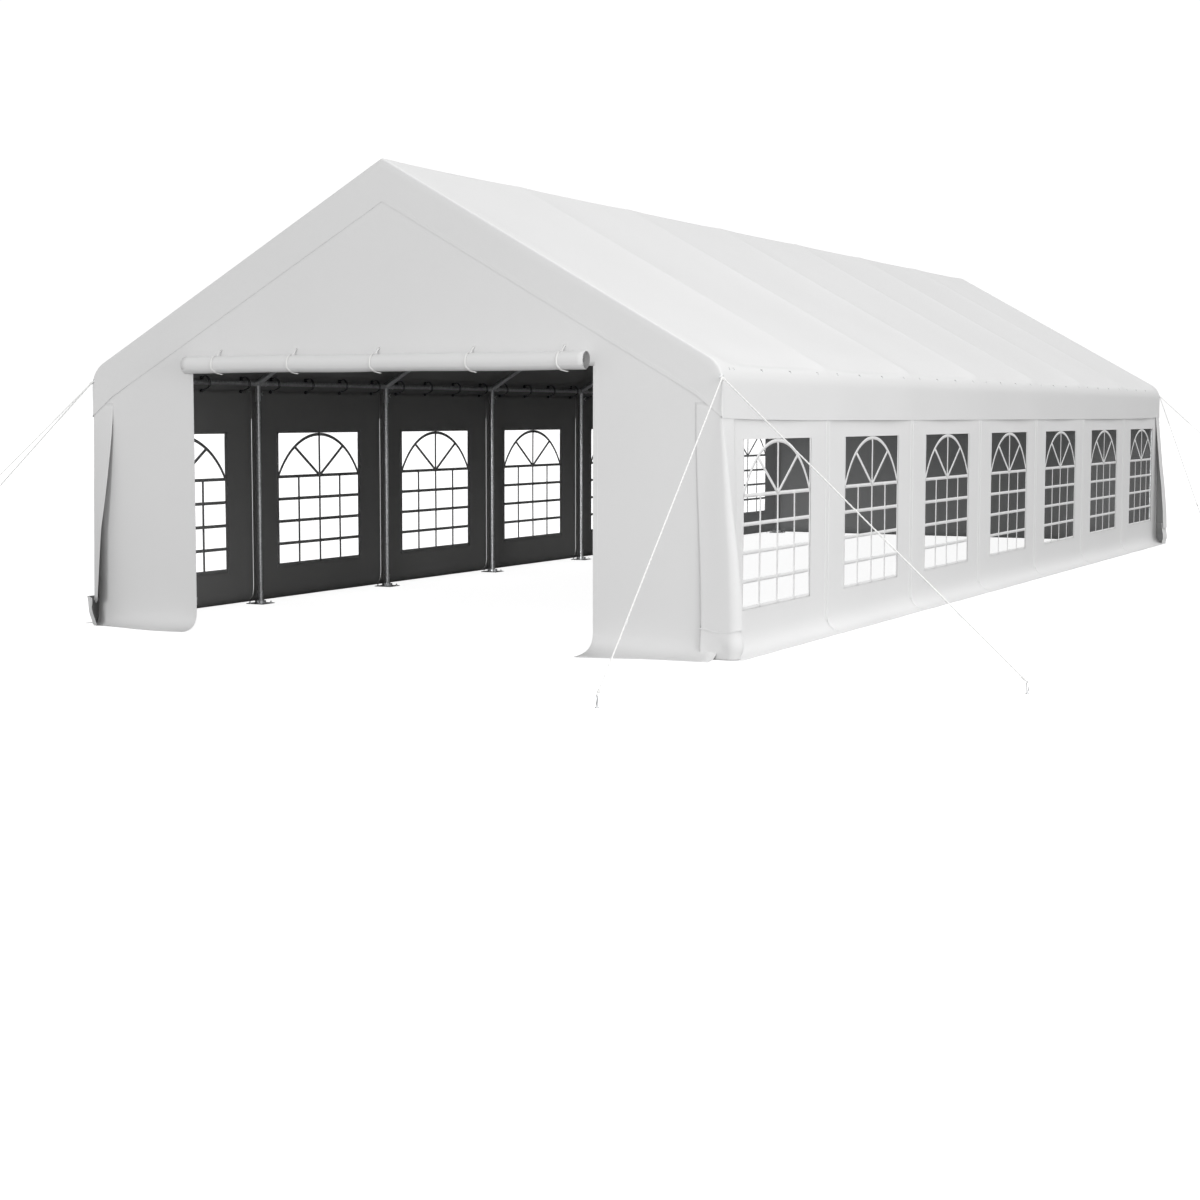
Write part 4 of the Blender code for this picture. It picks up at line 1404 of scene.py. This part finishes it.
def corner_surface(along, z, out):
    """Place on the roof's corner, at a distance round it from the middle of its fold."""
    rise = max(0.0, z - EAVE_Z)
    face_x = ROOF_X - EAVE_RADIUS + sqrt(EAVE_RADIUS ** 2 - rise * rise)
    half_fold = BORDER_FOLD * pi / 4
    angle = pi / 4 + max(-half_fold, min(half_fold, along)) / BORDER_FOLD
    past = along - max(-half_fold, min(half_fold, along))
    normal = Vector((cos(angle), sin(angle)))
    middle = Vector((face_x - BORDER_FOLD, ROOF_Y - BORDER_FOLD))
    point = middle + normal * (BORDER_FOLD + out) + Vector((-normal.y, normal.x)) * past
    return Vector((point.x, point.y, z))


class MARQUEE_OT_guy_ropes(bpy.types.Operator):
    """Model the guy ropes with their eyelets, knots, tighteners and steel pegs"""

    bl_idname = "marquee.guy_ropes"
    bl_label = "Guy ropes"

    def execute(self, context):
        for corner, sx, sy in CORNERS:
            top = corner_surface(0, CORNER_EYELET_Z, 0.004)
            top = Vector((sx * top.x, sy * top.y, top.z))
            for kind, peg in zip(("end", "side"), PEGS[corner]):
                self.rope_piece(f"{corner}_{kind}", top, peg, kind == "end" and (sx, sy))
        return {"FINISHED"}

    def rope_piece(self, name, top, peg, eyelet):
        """Make one rope from the corner's eyelet to the eye of its peg."""
        radius = bpy.context.scene.marquee_sizes.rope_radius
        shape = bmesh.new()
        eye = Vector((peg[0], peg[1], PEG_EYE_Z))
        foot = eye + Vector((0, 0, PEG_EYE_HEIGHT - 0.004))
        way = (foot - top).normalized()
        steps = round((foot - top).length / (TWIST_PITCH / 5))
        line = [top.lerp(foot, step / steps) for step in range(steps + 1)]
        add_cord(shape, line, radius, 12, 0, True)
        self.add_knot(shape, top + way * 0.016, way, radius)
        self.add_knot(shape, foot - way * 0.035, way, radius)
        self.add_tightener(shape, top.lerp(foot, 0.8), way)
        self.add_peg(shape, eye, way)
        if eyelet:
            self.add_eyelet(shape, *eyelet)
        # The fourth finish, the elastic's black, paints the shade in the corner eyelet's hole here
        new_piece(
            f"rope_{name}", shape, ["white_rope", "galvanised_tube", "white_zip", "black_elastic_and_painted_hole_shade"],
            [f"guy_rope_{name}"], 50.0)

    def add_eyelet(self, shape, sx, sy):
        """Add the large ring that is pressed round the roof's corner, with a black disc in its hole as painted
        shade.
        """
        ring = bmesh.new()
        add_ring(ring, Matrix.Identity(4), CORNER_EYELET_RADIUS, CORNER_EYELET_WIRE, 32, 8)
        # A thin black disc fills the ring's hole: painted shade in the eyelet, in the elastic's black finish
        hole = bmesh.new()
        bmesh.ops.create_cone(
            hole, cap_ends=True, cap_tris=True, segments=24, radius1=CORNER_EYELET_RADIUS,
            radius2=CORNER_EYELET_RADIUS, depth=0.0012)
        for part, index in ((ring, 1), (hole, 3)):
            for vert in part.verts:
                place = corner_surface(vert.co.x, CORNER_EYELET_Z + vert.co.y, vert.co.z)
                vert.co = (sx * place.x, sy * place.y, place.z)
            part.normal_update()
            bmesh.ops.recalc_face_normals(part, faces=part.faces)
            add_shape(shape, part, index)

    def add_knot(self, shape, place, way, radius):
        """Add three turns of rope wound round the rope itself."""
        turn = way.to_track_quat("Z", "Y").to_matrix().to_4x4() @ Matrix.Rotation(0.25, 4, "X")
        for step in (-1, 0, 1):
            ring = Matrix.Translation(place + way * step * radius * 1.5) @ turn
            add_ring(shape, ring, radius * 1.15, radius * 0.7, 14, 8)

    def add_tightener(self, shape, place, way):
        """Add a flat plastic rope tightener."""
        turn = way.to_track_quat("Y", "Z").to_matrix().to_4x4()
        part = bmesh.new()
        bmesh.ops.create_cube(part, size=1, matrix=Matrix.Diagonal((0.016, 0.048, 0.008, 1)))
        bmesh.ops.bevel(
            part, geom=part.edges[:], offset=0.003, affect="EDGES", segments=2, profile=0.5,
            material=-1)
        add_shape(shape, part, 2, Matrix.Translation(place) @ turn)

    def add_peg(self, shape, eye, way):
        """Add the steel pin and the slim eye at its top."""
        stand = Matrix.Translation(eye) @ Matrix.Rotation(atan2(way.y, way.x), 4, "Z")
        stand @= Matrix.Diagonal((PEG_EYE_WIDTH / PEG_EYE_HEIGHT, 1, 1, 1))
        stand @= Matrix.Rotation(pi / 2, 4, "X")
        add_ring(shape, stand, PEG_EYE_HEIGHT, 0.0042, 28, 10, 1)
        base = Vector((eye.x, eye.y, 0.0005))
        add_tube(shape, base, eye - Vector((0, 0, PEG_EYE_HEIGHT - 0.002)), 0.0055, 12, 1)
        add_tube(shape, base, base + Vector((0, 0, 0.004)), 0.012, 16, 1)


CAMERA_PLACE = (7.729, -19.378, 1.579)
CAMERA_YAW = radians(-26.072)
CAMERA_PITCH = radians(-5.075)
CAMERA_ROLL = radians(0.087)
CAMERA_LENS = 62.54
# Seen directly the floor and the backdrop are plain white; as light they are softer
FLOOR_SEEN = 0.94
BACKDROP_SEEN = 1.05
# Lamps: name, direction of travel and apparent size of the two suns
HIGH_SUN_WAY = (-0.25, -0.45, -0.86)
FRONT_SUN_WAY = (-0.15, 1.0, -0.10)
SIDE_LAMP_PLACE = (14.0, -10.0, 3.0)
SIDE_LAMP_AIM = (2.5, -3.0, 1.2)
SIDE_LAMP_SIZE = 7.0


class MARQUEE_OT_stage(bpy.types.Operator):
    """Lay the pale floor, light the tent softly and set the camera of the picture"""

    bl_idname = "marquee.stage"
    bl_label = "Stage"

    def execute(self, context):
        stage = context.scene.marquee_stage
        self.lay_floor()
        self.light_sky(context.scene, stage.sky)
        self.add_sun("high_light", stage.high_sun, HIGH_SUN_WAY, 50)
        self.add_sun("front_light", stage.front_sun, FRONT_SUN_WAY, 12)
        panel = bpy.data.lights.new("side_light", "AREA")
        panel.energy = stage.side_panel
        panel.size = SIDE_LAMP_SIZE
        self.add_lamp(panel, Vector(SIDE_LAMP_AIM) - Vector(SIDE_LAMP_PLACE), SIDE_LAMP_PLACE)
        self.set_camera(context.scene)
        context.scene.view_settings.view_transform = "Standard"
        context.scene.view_settings.look = "None"
        return {"FINISHED"}

    def add_lamp(self, light, way, place=(0, 0, 0)):
        """Hang a lamp that shines along a direction."""
        lamp = bpy.data.objects.new(light.name, light)
        lamp.location = place
        lamp.rotation_euler = Vector(way).to_track_quat("-Z", "Y").to_euler()
        bpy.context.scene.collection.objects.link(lamp)

    def add_sun(self, name, strength, way, spread):
        """Add a sun with soft edges."""
        sun = bpy.data.lights.new(name, "SUN")
        sun.energy = strength
        sun.angle = radians(spread)
        self.add_lamp(sun, way)

    def lay_floor(self):
        """Lay a large floor that looks white to the camera and lights the tent softly."""
        shape = bmesh.new()
        bmesh.ops.create_grid(shape, x_segments=1, y_segments=1, size=400)
        bmesh.ops.translate(shape, verts=shape.verts, vec=(0, 0, -0.0008))
        mesh = bpy.data.meshes.new("floor")
        shape.to_mesh(mesh)
        shape.free()
        finish, tree, shader = blank_finish("pale_floor", (0.45, 0.45, 0.45), 0.9)
        shader.inputs["Specular IOR Level"].default_value = 0.0
        shader.inputs["Emission Color"].default_value = (1, 1, 1, 1)
        seen = add_node(tree, "LightPath")
        glow = add_node(
            tree, "MapRange", {"Value": seen.outputs["Is Camera Ray"], "To Max": FLOOR_SEEN})
        tree.links.new(glow.outputs["Result"], shader.inputs["Emission Strength"])
        mesh.materials.append(finish)
        floor = bpy.data.objects.new("floor", mesh)
        bpy.context.scene.collection.objects.link(floor)

    def light_sky(self, scene, strength):
        """Light from all round, seen as plain white behind the tent."""
        world = bpy.data.worlds.new("white_studio")
        world.use_nodes = True
        tree = world.node_tree
        light = tree.nodes["Background"]
        light.inputs["Strength"].default_value = strength
        light.inputs["Color"].default_value = (1, 1, 1, 1)
        behind = add_node(tree, "Background", {"Color": (1, 1, 1, 1), "Strength": BACKDROP_SEEN})
        seen = add_node(tree, "LightPath")
        mix = add_node(tree, "MixShader", {"Fac": seen.outputs["Is Camera Ray"]})
        tree.links.new(light.outputs["Background"], mix.inputs[1])
        tree.links.new(behind.outputs["Background"], mix.inputs[2])
        tree.links.new(mix.outputs["Shader"], tree.nodes["World Output"].inputs["Surface"])
        scene.world = world

    def set_camera(self, scene):
        """Stand where the photographer stood, a little above a person's chest."""
        data = bpy.data.cameras.new("photo_camera")
        data.sensor_width = 36.0
        data.lens = CAMERA_LENS
        camera = bpy.data.objects.new("photo_camera", data)
        forward = Vector((
            sin(CAMERA_YAW) * cos(CAMERA_PITCH), cos(CAMERA_YAW) * cos(CAMERA_PITCH),
            sin(CAMERA_PITCH)))
        right = Vector((cos(CAMERA_YAW), -sin(CAMERA_YAW), 0))
        above = right.cross(forward)
        tilted = right * cos(CAMERA_ROLL) + above * sin(CAMERA_ROLL)
        upright = above * cos(CAMERA_ROLL) - right * sin(CAMERA_ROLL)
        turn = Matrix((tilted, upright, -forward)).transposed().to_4x4()
        camera.matrix_world = Matrix.Translation(CAMERA_PLACE) @ turn
        scene.collection.objects.link(camera)
        scene.camera = camera


class MARQUEE_PT_panel(bpy.types.Panel):
    """Sidebar panel with the steps of the tent in order"""

    bl_idname = "MARQUEE_PT_panel"
    bl_label = "Marquee tent"
    bl_space_type = "VIEW_3D"
    bl_region_type = "UI"
    bl_category = "Marquee"

    def draw(self, context):
        for group in ("marquee_sizes", "marquee_colours", "marquee_stage"):
            settings = getattr(context.scene, group)
            for name in settings.__annotations__:
                self.layout.prop(settings, name)
        for step in STEPS:
            self.layout.operator(step.bl_idname)


STEPS = (
    MARQUEE_OT_stage,
    MARQUEE_OT_roof,
    MARQUEE_OT_side_walls,
    MARQUEE_OT_windows,
    MARQUEE_OT_gables,
    MARQUEE_OT_door_roll,
    MARQUEE_OT_door_curtain,
    MARQUEE_OT_corner_covers,
    MARQUEE_OT_portal_frames,
    MARQUEE_OT_rails,
    MARQUEE_OT_elastic_loops,
    MARQUEE_OT_guy_ropes,
)
CLASSES = (MarqueeSizes, MarqueeColours, MarqueeStage, *STEPS, MARQUEE_PT_panel)


def register():
    for cls in CLASSES:
        bpy.utils.register_class(cls)
    bpy.types.Scene.marquee_sizes = PointerProperty(type=MarqueeSizes)
    bpy.types.Scene.marquee_colours = PointerProperty(type=MarqueeColours)
    bpy.types.Scene.marquee_stage = PointerProperty(type=MarqueeStage)


def unregister():
    del bpy.types.Scene.marquee_stage
    del bpy.types.Scene.marquee_colours
    del bpy.types.Scene.marquee_sizes
    for cls in reversed(CLASSES):
        bpy.utils.unregister_class(cls)


def main():
    register()
    bpy.ops.marquee.stage()
    bpy.ops.marquee.roof()
    bpy.ops.marquee.side_walls()
    bpy.ops.marquee.windows()
    bpy.ops.marquee.gables()
    bpy.ops.marquee.door_roll()
    bpy.ops.marquee.door_curtain()
    bpy.ops.marquee.corner_covers()
    bpy.ops.marquee.portal_frames()
    bpy.ops.marquee.rails()
    bpy.ops.marquee.elastic_loops()
    bpy.ops.marquee.guy_ropes()


if __name__ == "__main__":
    main()
